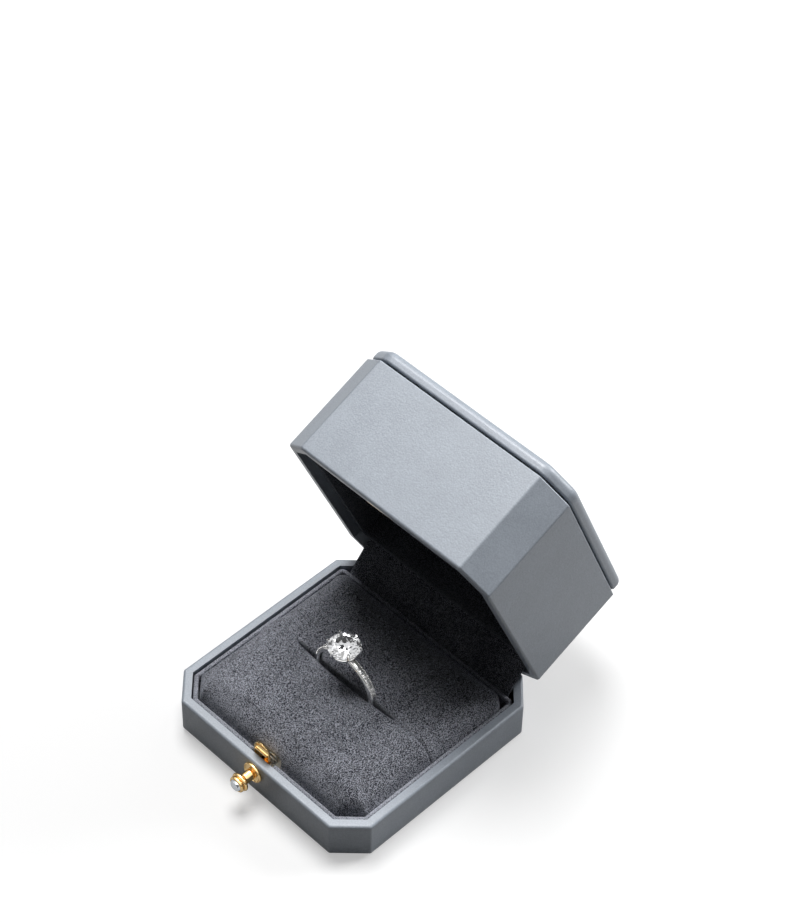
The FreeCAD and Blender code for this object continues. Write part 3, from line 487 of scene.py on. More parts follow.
class Finish(Enum):
    """The record's material slots and the finish of each."""

    LEATHERETTE = ("leatherette", Leatherette())
    SUEDE = ("suede", Suede())
    LID_LINING = (
        "lid_lining", Suede("lid_lining_finish", (0.010, 0.012, 0.015), (0.130, 0.138, 0.158), sheen=0.15),
    )
    GOLD = ("gold", Metal("gold_finish", (0.93, 0.65, 0.30), 0.12))
    HINGE_STEEL = ("hinge_steel", Metal("hinge_steel_finish", (0.62, 0.62, 0.60), 0.28, 0.12))
    WHITE_METAL = ("white_metal", Metal("white_metal_finish", (0.80, 0.80, 0.79), 0.12, 0.10))
    # the diamond carries a faint painted glow
    DIAMOND = ("diamond", Gem("diamond_finish", 2.42, inner=0.012))
    CRYSTAL = ("crystal", Gem("crystal_finish", 1.58, foil=0.9, tint=(0.78, 0.82, 0.86)))
    MOULDING = ("moulding", Board("moulding_finish", (0.030, 0.031, 0.034), (0.050, 0.051, 0.055), 0.6))
    BOARD = ("board", Board("board_finish", (0.16, 0.16, 0.165), (0.22, 0.22, 0.225)))
    DARK_BOARD = ("dark_board", Board("dark_board_finish", (0.018, 0.019, 0.021), (0.034, 0.035, 0.038)))

    @property
    def slot(self) -> str:
        """Name of the record's slot."""
        return self.value[0]

    @property
    def material(self) -> bpy.types.Material:
        """The material, made when it is first asked for."""
        recipe = self.value[1]
        return bpy.data.materials.get(recipe.name) or recipe.make()


# ------------------------------------------------------------------ shared steps
def placed(name: str, data: bpy.types.ID) -> Piece:
    """Put something in the scene.

    Args:
        name: its name.
        data: its mesh, light or camera.

    Returns:
        The new object, at the origin.
    """
    thing = bpy.data.objects.new(name, data)
    bpy.context.scene.collection.objects.link(thing)
    return thing


def piece_from(bm: bmesh.types.BMesh, name: str, finish: Finish, smooth: bool = True) -> Piece:
    """Turn a bmesh into a dressed piece.

    Args:
        bm: the finished mesh, which is freed.
        name: the piece's name.
        finish: its finish.
        smooth: whether its faces are shaded smooth.

    Returns:
        The new object, at the origin.
    """
    bmesh.ops.recalc_face_normals(bm, faces=bm.faces)
    for face in bm.faces:
        face.smooth = smooth
    mesh = bpy.data.meshes.new(name)
    bm.to_mesh(mesh)
    bm.free()
    piece = placed(name, mesh)
    mesh.materials.append(finish.material)
    return piece


def applied(piece: Piece) -> None:
    """Replace a piece's mesh by what its modifiers make of it, and remove them.

    Args:
        piece: the piece.
    """
    graph = bpy.context.evaluated_depsgraph_get()
    mesh = bpy.data.meshes.new_from_object(piece.evaluated_get(graph))
    piece.modifiers.clear()
    old = piece.data
    piece.data = mesh
    mesh.name = old.name
    bpy.data.meshes.remove(old)


def bevelled(bm: bmesh.types.BMesh, edges: list[bmesh.types.BMEdge], size: float, steps: int) -> None:
    """Cut or round edges.

    Args:
        bm: the form.
        edges: its edges that are cut.
        size: how far the cut reaches along each face, in metres.
        steps: 1 for a flat cut, more for a round one.
    """
    bmesh.ops.bevel(
        bm, geom=edges, offset=size, offset_type="OFFSET", affect="EDGES",
        segments=steps, profile=0.5, material=-1,
    )


def lies_at(edge: bmesh.types.BMEdge, axis: int, place: float) -> bool:
    """Whether an edge lies at a place along an axis, 0 for X to 2 for Z."""
    return all(abs(vertex.co[axis] - place) < TINY for vertex in edge.verts)


def turn_over(piece: Piece) -> None:
    """Mirror a piece top to bottom, with its faces outwards again."""
    piece.data.transform(Matrix.Diagonal((1.0, 1.0, -1.0, 1.0)))
    piece.data.flip_normals()


def thickened(piece: Piece, sheet: float) -> None:
    """Give a surface the thickness of its sheet, half to each side.

    Args:
        piece: the surface.
        sheet: the thickness in metres.
    """
    thick = piece.modifiers.new("sheet", "SOLIDIFY")
    thick.thickness = sheet
    thick.offset = 0.0
    applied(piece)


def smooth_by_angle(piece: Piece, degrees: float) -> None:
    """Keep a piece's edges sharp where its faces turn by more than an angle.

    Args:
        piece: a smooth piece.
        degrees: the angle.
    """
    bm = bmesh.new()
    bm.from_mesh(piece.data)
    for edge in bm.edges:
        edge.smooth = len(edge.link_faces) == 2 and edge.calc_face_angle(0.0) < math.radians(degrees)
    bm.to_mesh(piece.data)
    bm.free()


def remeshed(piece: Piece, voxel: float) -> None:
    """Give a piece an even mesh of small quads.

    Args:
        piece: a closed mesh.
        voxel: size of the quads in metres.
    """
    modifier = piece.modifiers.new("even", "REMESH")
    modifier.mode = "VOXEL"
    modifier.voxel_size = voxel
    applied(piece)


def subdivided(piece: Piece) -> None:
    """Subdivide a piece once, smoothly.

    Args:
        piece: a piece with an even mesh.
    """
    modifier = piece.modifiers.new("finer", "SUBSURF")
    modifier.levels = 1
    modifier.render_levels = 1
    applied(piece)
    for polygon in piece.data.polygons:
        polygon.use_smooth = True


def smooth_step(value: float, low: float, high: float) -> float:
    """Rise from 0 at low to 1 at high with flat ends."""
    share = min(max((value - low) / (high - low), 0.0), 1.0)
    return share * share * (3.0 - 2.0 * share)


def wobble(point: Vector, size: float, seed: float = 0.0) -> float:
    """Smooth unevenness, about -1 to 1.

    Args:
        point: where it is asked for, in metres.
        size: distance over which it changes, in metres.
        seed: shifts the pattern.

    Returns:
        The unevenness.
    """
    return noise.noise(point / size + Vector((seed, 2.0 * seed, 3.0 * seed)))


@dataclass
class Cushioning:
    """Swells a padded piece as cloth under light pressure."""

    scale: float = 10.0  # the cloth is worked out at this many times its size
    pressure: float = 4.0
    frames: int = 20
    stiffness: float = 12.0
    quality: int = 4
    cap: float = 0.5 * MM  # how far a point may move

    def swell(
        self, piece: Piece, pinned_below: float, freedom: Callable[[Vector], float] = lambda co: 1.0,
    ) -> None:
        """Let the fabric settle.

        Args:
            piece: the piece, with an even mesh.
            pinned_below: points lower than this stay, in metres.
            freedom: share of its movement that a point keeps, by its place.
        """
        start = [vertex.co.copy() for vertex in piece.data.vertices]
        held = piece.vertex_groups.new(name="held")
        held.add([i for i, co in enumerate(start) if co.z < pinned_below], 1.0, "REPLACE")
        piece.data.transform(Matrix.Scale(self.scale, 4))
        cloth = piece.modifiers.new("cloth", "CLOTH")
        cloth.settings.vertex_group_mass = "held"
        cloth.settings.use_pressure = True
        cloth.settings.uniform_pressure_force = self.pressure
        cloth.settings.effector_weights.gravity = 0.0
        cloth.settings.tension_stiffness = self.stiffness
        cloth.settings.compression_stiffness = self.stiffness
        cloth.settings.quality = self.quality
        scene = bpy.context.scene
        for frame in range(1, self.frames + 1):
            scene.frame_set(frame)
        graph = bpy.context.evaluated_depsgraph_get()
        settled = [vertex.co / self.scale for vertex in piece.evaluated_get(graph).data.vertices]
        piece.modifiers.remove(cloth)
        scene.frame_set(1)
        for vertex, was, now in zip(piece.data.vertices, start, settled):
            step = now - was
            vertex.co = was + step * freedom(was) * min(1.0, self.cap / max(step.length, 1e-9))
        piece.vertex_groups.clear()


# ------------------------------------------------------------------ the case
@dataclass
class Hinge:
    """Where the lid turns, and how far it rests from being shut."""

    axis: Vector
    turn: float

    @classmethod
    def of(cls, joints: list[dict]) -> "Hinge":
        """Read the hinge from the frame's joints."""
        joint = next(j for j in joints if j["name"] == "lid_hinge")
        return cls(Vector(joint["pos_m"]), math.radians(joint["range_deg"][1]))

    @property
    def opening(self) -> Matrix:
        """Swings a shut piece open."""
        about = Matrix.Translation(self.axis)
        return about @ Matrix.Rotation(-self.turn, 4, "X") @ about.inverted()

    def shut_box(self, node: Piece) -> tuple[Vector, Vector]:
        """Corners of a lid's node when the lid is shut.

        Args:
            node: the CAD node's object.

        Returns:
            Lowest and highest corner.
        """
        back = self.opening.inverted()
        points = [back @ vertex.co for vertex in node.data.vertices]
        low = Vector(min(p[i] for p in points) for i in range(3))
        high = Vector(max(p[i] for p in points) for i in range(3))
        return low, high


@dataclass
class Case:
    """CAD pieces and their finishes, those that another piece stands for included."""

    nodes: dict[str, Piece]
    finishes: dict[Finish, tuple[str, ...]] = field(default_factory=lambda: {
        Finish.LEATHERETTE: ("base_wrap", "lid_wrap", "lid_cap_wrap"),
        Finish.MOULDING: ("base_shell", "lid_shell"),
        Finish.BOARD: ("pad_board", "lid_cap_board", "bottom_board"),
        Finish.DARK_BOARD: ("lid_spacer",),
        Finish.HINGE_STEEL: (
            "hinge_base_leaf", "hinge_lid_leaf", "hinge_pin", "hinge_base_rivets", "hinge_lid_rivets",
            "hinge_bow_spring", "latch_bracket", "latch_return_spring",
        ),
        Finish.GOLD: ("latch_flange", "latch_stem", "latch_knob", "latch_catch", "lid_strike_plate"),
        Finish.CRYSTAL: ("latch_crystal",),
        Finish.SUEDE: ("base_collar", "pad_front", "pad_rear", "hinge_flap"),
        Finish.LID_LINING: ("lid_liner", "lid_pad"),
        Finish.WHITE_METAL: ("ring_shank", "ring_head"),
        Finish.DIAMOND: ("ring_centre_stone", "ring_small_stones"),
    })

    def dress(self) -> None:
        """Give every CAD piece its finish."""
        for finish, names in self.finishes.items():
            for name in names:
                for slot in self.nodes[name].material_slots:
                    slot.material = finish.material
            log.info("dressed %s: %s", finish.slot, ", ".join(names))


# ------------------------------------------------------------------ the lining
def block(low: Vector, high: Vector, front_cut: float, back_round: float) -> bmesh.types.BMesh:
    """Block with cut front corners and rounded back ones, as the lining is.

    Args:
        low: lowest corner.
        high: highest corner.
        front_cut: leg of the cut of the two front corners, or 0.
        back_round: radius of the two back corners, or 0.

    Returns:
        The block as a new bmesh.
    """
    bm = bmesh.new()
    bmesh.ops.create_cube(bm, size=1.0)
    bmesh.ops.scale(bm, vec=high - low, verts=bm.verts)
    bmesh.ops.translate(bm, vec=(low + high) / 2.0, verts=bm.verts)
    for face_y, size, steps in ((low.y, front_cut, 1), (high.y, back_round, 8)):
        if size > 0.0:
            upright = [edge for edge in bm.edges if lies_at(edge, 1, face_y)
                       and (lies_at(edge, 0, low.x) or lies_at(edge, 0, high.x))]
            bevelled(bm, upright, size, steps)
    return bm


def paint(piece: Piece, values: list[float]) -> None:
    """Mark each point's painted light: above 0 a painted highlight, below 0 painted shade."""
    attribute = piece.data.attributes.new("painted_light", "FLOAT", "POINT")
    attribute.data.foreach_set("value", values)


def open_shell(bm: bmesh.types.BMesh, ceiling: bool) -> None:
    """Take away a block's floor, and its ceiling if asked.

    Args:
        bm: the block.
        ceiling: whether the upper faces go too.
    """
    bm.normal_update()
    gone = [face for face in bm.faces if face.normal.z < -LEVEL or (ceiling and face.normal.z > LEVEL)]
    bmesh.ops.delete(bm, geom=gone, context="FACES")


def cut_notch(bm: bmesh.types.BMesh, half: float, low: float, high: float) -> None:
    """Cut a notch through the front wall.

    Args:
        bm: a shell.
        half: half the notch's width.
        low: lower end of the notch.
        high: upper end of the notch.
    """
    planes = [((side, 0, 0), (1, 0, 0)) for side in (-half, half)]
    planes += [((0, 0, end), (0, 0, 1)) for end in (low, high)]
    for place, normal in planes:
        geometry = bm.verts[:] + bm.edges[:] + bm.faces[:]
        bmesh.ops.bisect_plane(bm, geom=geometry, dist=TINY, plane_co=place, plane_no=normal)
    gone = []
    for face in bm.faces:
        middle = face.calc_center_median()
        in_front = abs(middle.x) < half and middle.y < 0.0
        if in_front and low < middle.z < high and abs(face.normal.z) < LEVEL:
            gone.append(face)
    bmesh.ops.delete(bm, geom=gone, context="FACES")


def round_wall(piece: Piece, wall: float) -> None:
    """Give a shell its wall inwards, with soft covered edges.

    Args:
        piece: an open shell whose faces point outwards.
        wall: the wall's thickness in metres.
    """
    solid = piece.modifiers.new("wall", "SOLIDIFY")
    solid.thickness = wall
    solid.offset = -1.0
    solid.use_even_offset = True
    soft = piece.modifiers.new("soft_edges", "BEVEL")
    soft.width = 0.42 * wall
    soft.segments = 4
    soft.limit_method = "ANGLE"
    soft.angle_limit = math.radians(50)
    applied(piece)


@dataclass
class RingPad:
    """One of the two suede cushions that grip the ring."""

    node: str
    side: int  # -1 in front of the slit, 1 behind it
    ring_x: float
    slit_y: float
    span: tuple[float, float]  # Y of the front of the front pad and the back of the rear one
    lip_wide: float  # how wide its lip is beside the ring
    lip_drop: float  # how far its lip drops beside the ring
    front_cut: float = 4.3 * MM
    back_round: float = 3.2 * MM
    voxel: float = 0.52 * MM
    edge: float = 4.4 * MM
    crown: float = 1.5 * MM
    foot: float = 1.0 * MM
    shoulder: float = 3.0 * MM  # from this height over its foot the pad takes its crown
    lip_least: float = 0.9 * MM  # how wide its lip is at the slit's ends
    lip_start: float = 0.03 * MM  # how far its lip drops anywhere
    corner: tuple[float, float] = (0.30 * MM, 21.0 * MM)  # its further drop at the sides, and from where
    squeezed: float = 2.6 * MM  # how far from the slit the pad gives way to the ring
    closing: float = 0.10  # below this openness the pads press together
    uneven: tuple[float, float] = (0.10 * MM, 7 * MM)  # height and size of its unevenness
    margin: float = 0.1 * MM  # how far it may swell sideways
    glued: Triple = (0.12, 0.6 * MM, 4.0 * MM)  # share of swelling at the slit, up to where, all from where
    painted_light: Triple = (0.5, 0.2 * MM, 1.6 * MM)  # painted highlight at the slit, full up to where, and none from where
    pocket: Triple = (3.5 * MM, 0.95 * MM, 3.7 * MM)  # half width, depth, and depth low down
    pocket_low: float = 10.3 * MM  # below this the pocket takes the latch's bracket
    pocket_ease: tuple[float, float] = (0.5 * MM, 0.6 * MM)  # over which its side and its step run out
    gap: float = 0.95 * MM  # half the opened slit's width
    pressed: float = 0.24 * MM  # how far the two pads press into each other beyond the slit
    slit_half: float = 16.3 * MM
    cushioning: Cushioning = field(default_factory=Cushioning)
    low: Vector = field(init=False)
    high: Vector = field(init=False)

    def __post_init__(self) -> None:
        """Take the corners of the pad's node."""
        self.low, self.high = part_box(self.node)

    def form(self) -> bmesh.types.BMesh:
        """Block of the pad with its outer top edges rounded.

        Returns:
            The form as a new bmesh.
        """
        bottom, top = self.low.copy(), self.high.copy()
        top.z -= self.crown
        if self.side < 0:
            top.y = self.slit_y
            bm = block(bottom, top, self.front_cut, 0.0)
        else:
            bottom.y = self.slit_y
            bm = block(bottom, top, 0.0, self.back_round)
        rim = [edge for edge in bm.edges if lies_at(edge, 2, top.z) and not lies_at(edge, 1, self.slit_y)]
        bevelled(bm, rim, self.edge, 8)
        return bm

    def openness(self, x: float) -> float:
        """How far the ring holds the slit open at x, 0 to 1."""
        reach = (x - self.ring_x) / self.slit_half
        return max(0.0, 1.0 - reach * reach)

    def closed(self, x: float) -> float:
        """How far the pads press together at x, in metres."""
        return self.pressed * (1.0 - smooth_step(self.openness(x), 0.0, self.closing))

    def shape(self, co: Vector) -> Vector:
        """Crown the top, turn the lip down and open the slit.

        Args:
            co: a point of the even mesh.

        Returns:
            Where the point goes.
        """
        point = co.copy()
        across = min(abs(point.x) / self.high.x, 1.0)
        along = min(abs(2.0 * (point.y - self.span[0]) / (self.span[1] - self.span[0]) - 1.0), 1.0)
        top = smooth_step(point.z, self.low.z + self.shoulder, self.high.z - self.crown)
        point.z += top * self.crown * (1.0 - across ** 2.4) * (1.0 - along ** 2.4)
        held = self.openness(point.x)
        behind = self.side * (point.y - self.slit_y)
        lip = 1.0 - smooth_step(behind, 0.0, self.lip_least + self.lip_wide * held)
        corner = self.corner[0] * smooth_step(abs(point.x), self.corner[1], self.high.x)
        point.z -= (self.lip_start + corner + self.lip_drop * held) * top * lip * lip
        near = 1.0 - smooth_step(behind, 0.0, self.squeezed)
        point.y += self.side * near * (self.gap * held ** 0.8 - self.closed(point.x))
        height, size = self.uneven
        point.z += top * height * wobble(co, size, 1.0)
        return point

    def make(self) -> Piece:
        """Build the pad.

        Returns:
            The cushion, riding on the base.
        """
        piece = piece_from(self.form(), self.node + "_cushion", Finish.SUEDE)
        remeshed(piece, self.voxel)
        for vertex in piece.data.vertices:
            vertex.co = self.shape(vertex.co)
        self.cushioning.swell(piece, self.low.z + self.foot, self.freedom)
        self.keep_clear(piece)
        subdivided(piece)
        # painted highlight along the lips of the slit
        paint(piece, [self.lip_highlight(vertex.co) for vertex in piece.data.vertices])
        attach(piece, "base")
        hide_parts(self.node)
        log.info("%s: %d points", piece.name, len(piece.data.vertices))
        return piece

    def freedom(self, co: Vector) -> float:
        """Share of the swelling that a point keeps: little on the glued lips of the slit."""
        least, start, end = self.glued
        return least + (1.0 - least) * smooth_step(abs(co.y - self.slit_y), start, end)

    def keep_clear(self, piece: Piece) -> None:
        """Hold the swollen sides off the collar, the latch and the other pad.

        Args:
            piece: the pad.
        """
        half, shallow, deep = self.pocket
        for vertex in piece.data.vertices:
            co = vertex.co
            co.x = min(max(co.x, self.low.x - self.margin), self.high.x + self.margin)
            co.y = min(max(co.y, self.span[0] - self.margin), self.span[1] + self.margin)
            co.y = self.side * max(self.side * (co.y - self.slit_y), -self.closed(co.x)) + self.slit_y
            co.z = max(co.z, self.low.z)
            if self.side < 0:
                foot = 1.0 - smooth_step(co.z, self.pocket_low, self.pocket_low + self.pocket_ease[1])
                share = 1.0 - smooth_step(abs(co.x), half, half + self.pocket_ease[0])
                co.y = max(co.y, self.span[0] + (shallow + (deep - shallow) * foot) * share)

    def lip_highlight(self, co: Vector) -> float:
        """Painted highlight on the lips beside the ring, strongest where the slit is held open."""
        most, start, end = self.painted_light
        return most * (1.0 - smooth_step(abs(co.y - self.slit_y), start, end)) * self.openness(co.x)


@dataclass
class Collar:
    """Covered card ring between the pads and the wall of the base."""

    wall: float = 1.1 * MM
    front_cut: float = 5.14 * MM
    back_round: float = 1.6 * MM
    notch_half: float = 3.4 * MM
    nap: float = 0.4 * MM  # how far the covering stands up over the card
    painted_light: float = 0.9  # how strong the painted highlight on its top edge is

    def make(self) -> Piece:
        """Build the collar.

        Returns:
            The collar, riding on the base.
        """
        low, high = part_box("base_collar")
        high.z += self.nap
        bm = block(low, high, self.front_cut, self.back_round)
        open_shell(bm, ceiling=True)
        cut_notch(bm, self.notch_half, low.z, high.z)
        piece = piece_from(bm, "collar_cover", Finish.SUEDE)
        round_wall(piece, self.wall)
        heights = [vertex.co.z for vertex in piece.data.vertices]
        # painted highlight along the collar's top edge
        paint(piece, [self.painted_light * smooth_step(z, high.z - HIGHLIGHT_EDGE, high.z) for z in heights])
        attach(piece, "base")
        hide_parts("base_collar")
        log.info("%s: wall %.1f mm", piece.name, self.wall / MM)
        return piece


@dataclass
class LidLining:
    """Covered cup and cushion inside the lid, made shut and swung open."""

    hinge: Hinge
    nodes: dict[str, Piece]
    wall: float = 1.1 * MM
    front_cut: float = 5.14 * MM
    pad_cut: float = 4.3 * MM
    back_round: float = 1.6 * MM
    notch_half: float = 3.4 * MM
    notch_high: float = 2.6 * MM
    pad_edge: float = 1.2 * MM
    voxel: float = 0.8 * MM
    sag: float = 0.7 * MM  # of the cushion's middle
    glued: float = 0.5 * MM  # height over which the cushion is held at the ceiling
    cushioning: Cushioning = field(default_factory=lambda: Cushioning(cap=0.35 * MM))

    def cup(self) -> Piece:
        """Build the covered cup.

        Returns:
            The cup, riding on the lid.
        """
        low, high = self.hinge.shut_box(self.nodes["lid_liner"])
        bm = block(low, high, self.front_cut, self.back_round)
        open_shell(bm, ceiling=False)
        cut_notch(bm, self.notch_half, low.z - 1.0 * MM, low.z + self.notch_high)
        piece = piece_from(bm, "lid_cup_cover", Finish.LID_LINING)
        round_wall(piece, self.wall)
        # painted highlight along the cup's rim
        paint(piece, [1.0 - smooth_step(v.co.z, low.z, low.z + HIGHLIGHT_EDGE) for v in piece.data.vertices])
        return self.fit(piece, "lid_liner")

    def cushion(self) -> Piece:
        """Build the cushion under the lid's ceiling.

        Returns:
            The cushion, riding on the lid.
        """
        low, high = self.hinge.shut_box(self.nodes["lid_pad"])
        bm = block(low, high, self.pad_cut, self.back_round)
        bevelled(bm, [edge for edge in bm.edges if lies_at(edge, 2, low.z)], self.pad_edge, 5)
        piece = piece_from(bm, "lid_cushion", Finish.LID_LINING)
        remeshed(piece, self.voxel)
        for vertex in piece.data.vertices:
            co = vertex.co
            along = 2.0 * (co.y - low.y) / (high.y - low.y) - 1.0
            middle = (1.0 - (co.x / high.x) ** 2) * (1.0 - along ** 2)
            co.z -= self.sag * max(middle, 0.0) * (high.z - co.z) / (high.z - low.z)
        turn_over(piece)
        self.cushioning.swell(piece, -high.z + self.glued)
        turn_over(piece)
        subdivided(piece)
        paint(piece, [0.0] * len(piece.data.vertices))
        return self.fit(piece, "lid_pad")

    def fit(self, piece: Piece, node: str) -> Piece:
        """Swing a shut piece open and hang it on the lid.

        Args:
            piece: the piece, made shut.
            node: the CAD node that it stands for.

        Returns:
            The piece.
        """
        piece.data.transform(self.hinge.opening)
        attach(piece, "lid")
        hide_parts(node)
        log.info("%s: %d points", piece.name, len(piece.data.vertices))
        return piece


# ------------------------------------------------------------------ the hinge
@dataclass
class Flap:
    """Suede strip that hides the hinge between the collar and the lid's lining."""

    half: float = 26.0 * MM
    cloth: float = 0.5 * MM
    turn: float = 1.3 * MM  # how far each bend is eased to either side
    painted_shade: float = -0.8  # painted shade, which makes it darker than the pads; it lies in the lid's shadow
    uneven: tuple[float, float] = (0.18 * MM, 6 * MM)  # height and size of its unevenness
    route: Pairs = ((24.25, 4.9), (24.25, 9.9), (30.62, 17.33), (35.22, 19.28))  # Y and Z in mm

    @property
    def length(self) -> float:
        """Length of the strip."""
        points = [Vector(point) * MM for point in self.route]
        return sum((end - start).length for start, end in zip(points, points[1:]))

    def along(self, distance: float) -> Vector:
        """Point of the straight route.

        Args:
            distance: how far along the route, in metres.

        Returns:
            The point, at X 0.
        """
        points = [Vector((0.0, y * MM, z * MM)) for y, z in self.route]
        for start, end in zip(points, points[1:]):
            step = (end - start).length
            if distance <= step:
                return start.lerp(end, distance / step)
            distance -= step
        return points[-1]

    def make(self) -> Piece:
        """Build the flap.

        Returns:
            The sheet, bending from the base to the lid.
        """
        bm = bmesh.new()
        bmesh.ops.create_grid(bm, x_segments=52, y_segments=48, size=0.5)
        height, size = self.uneven
        for vertex in bm.verts:
            x, share = 2.0 * vertex.co.x * self.half, vertex.co.y + 0.5
            place = share * self.length
            eased = [min(max(place + k / 4.0 * self.turn, 0.0), self.length) for k in range(-4, 5)]
            co = sum((self.along(distance) for distance in eased), Vector()) / len(eased)
            co.y += height * math.sin(math.pi * share) * wobble(Vector((x, 0.0, place)), size, 4.0)
            vertex.co = Vector((x, co.y, co.z))
        piece = piece_from(bm, "hinge_flap_cloth", Finish.SUEDE)
        thickened(piece, self.cloth)
        # painted shade over the whole strip
        paint(piece, [self.painted_shade] * len(piece.data.vertices))
        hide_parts("hinge_flap")
        self.length
        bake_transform(piece)
        log.info("%s: %.1f mm long", piece.name, self.length / MM)
        return piece


@dataclass
class BowSpring:
    """Bowed steel strip across the hinge, which flexes as the lid turns."""

    width: float = 9.0 * MM
    sheet: float = 0.3 * MM
    centre: tuple[float, float] = (33.054, 8.351)  # Y and Z in mm
    radius: float = 6.425 * MM
    low: float = 220.3  # degrees round the centre, at the base's leaf
    high: float = 78.7  # degrees round the centre, at the lid's leaf

    def at(self, share: float) -> Vector:
        """Point of the strip's middle.

        Args:
            share: 0 at the base to 1 at the lid.

        Returns:
            The point, at X 0.
        """
        angle = math.radians(self.low + (self.high - self.low) * share)
        y, z = (value * MM for value in self.centre)
        return Vector((0.0, y + self.radius * math.cos(angle), z + self.radius * math.sin(angle)))

    def make(self) -> Piece:
        """Build the spring.

        Returns:
            The strip, bending from the base to the lid.
        """
        bm = bmesh.new()
        bmesh.ops.create_grid(bm, x_segments=6, y_segments=40, size=0.5)
        for vertex in bm.verts:
            co = self.at(vertex.co.y + 0.5)
            vertex.co = Vector((vertex.co.x * self.width, co.y, co.z))
        piece = piece_from(bm, "hinge_bow_spring_strip", Finish.HINGE_STEEL)
        thickened(piece, self.sheet)
        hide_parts("hinge_bow_spring")
        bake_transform(piece)
        log.info("%s: bowed through %.0f degrees", piece.name, self.low - self.high)
        return piece


# ------------------------------------------------------------------ the latch
@dataclass
class ReturnSpring:
    """Coil spring behind the catch, which shortens as the button goes in."""

    wire: float = 0.2 * MM  # radius
    turns: int = 4
    steps: int = 28  # in each turn
    travel: float = 1.3 * MM  # of the button

    def make(self) -> Piece:
        """Build the spring.

        Returns:
            The coil, riding on the base.
        """
        low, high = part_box("latch_return_spring")
        middle, long = (low + high) / 2.0, high.y - low.y
        bm = bmesh.new()
        bmesh.ops.create_circle(bm, segments=10, radius=self.wire)
        bmesh.ops.translate(bm, vec=(high.x - self.wire, low.y + self.wire, middle.z), verts=bm.verts)
        count = self.steps * self.turns
        bmesh.ops.spin(
            bm, geom=bm.verts[:] + bm.edges[:], cent=middle, axis=(0.0, 1.0, 0.0),
            angle=math.tau * self.turns, steps=count, dvec=(0.0, (long - 2.0 * self.wire) / count, 0.0),
        )
        bmesh.ops.holes_fill(bm, edges=[edge for edge in bm.edges if edge.is_boundary])
        piece = piece_from(bm, "latch_return_spring_coil", Finish.HINGE_STEEL)
        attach(piece, "base")
        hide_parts("latch_return_spring")
        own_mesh(piece)
        log.info("%s: %.2f mm long", piece.name, long / MM)
        return piece


@dataclass
class FacetedCrystal:
    """Foil-backed crystal in the end of the knob, cut in rings of flat facets."""

    sides: int = 8
    rings: Pairs = ((1.0, -0.50 * MM), (0.80, 0.0), (0.44, 0.28 * MM))  # share of the radius, and rise

    def make(self) -> Piece:
        """Build the crystal.

        Returns:
            The crystal, riding on the button.
        """
        low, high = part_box("latch_crystal")
        middle = (low + high) / 2.0
        bm = bmesh.new()
        loops = []
        for index, (share, rise) in enumerate(self.rings):
            there = Matrix.Translation((middle.x, low.y - rise, middle.z))
            facing = there @ Matrix.Rotation(math.radians(90), 4, "X")
            turned = facing @ Matrix.Rotation(index * math.pi / self.sides, 4, "Z")
            radius = share * (high.x - middle.x)
            made = bmesh.ops.create_circle(bm, segments=self.sides, radius=radius, matrix=turned)
            loops.append([edge for edge in bm.edges if edge.verts[0] in made["verts"]])
        for outer, inner in zip(loops, loops[1:]):
            bmesh.ops.bridge_loops(bm, edges=outer + inner)
        bmesh.ops.triangulate(bm, faces=bm.faces)
        for end in (loops[0], loops[-1]):
            bmesh.ops.contextual_create(bm, geom=end)
        piece = piece_from(bm, "latch_crystal_facets", Finish.CRYSTAL, smooth=False)
        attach(piece, "button")
        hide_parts("latch_crystal")
        log.info("%s: %d facets", piece.name, len(piece.data.polygons))
        return piece


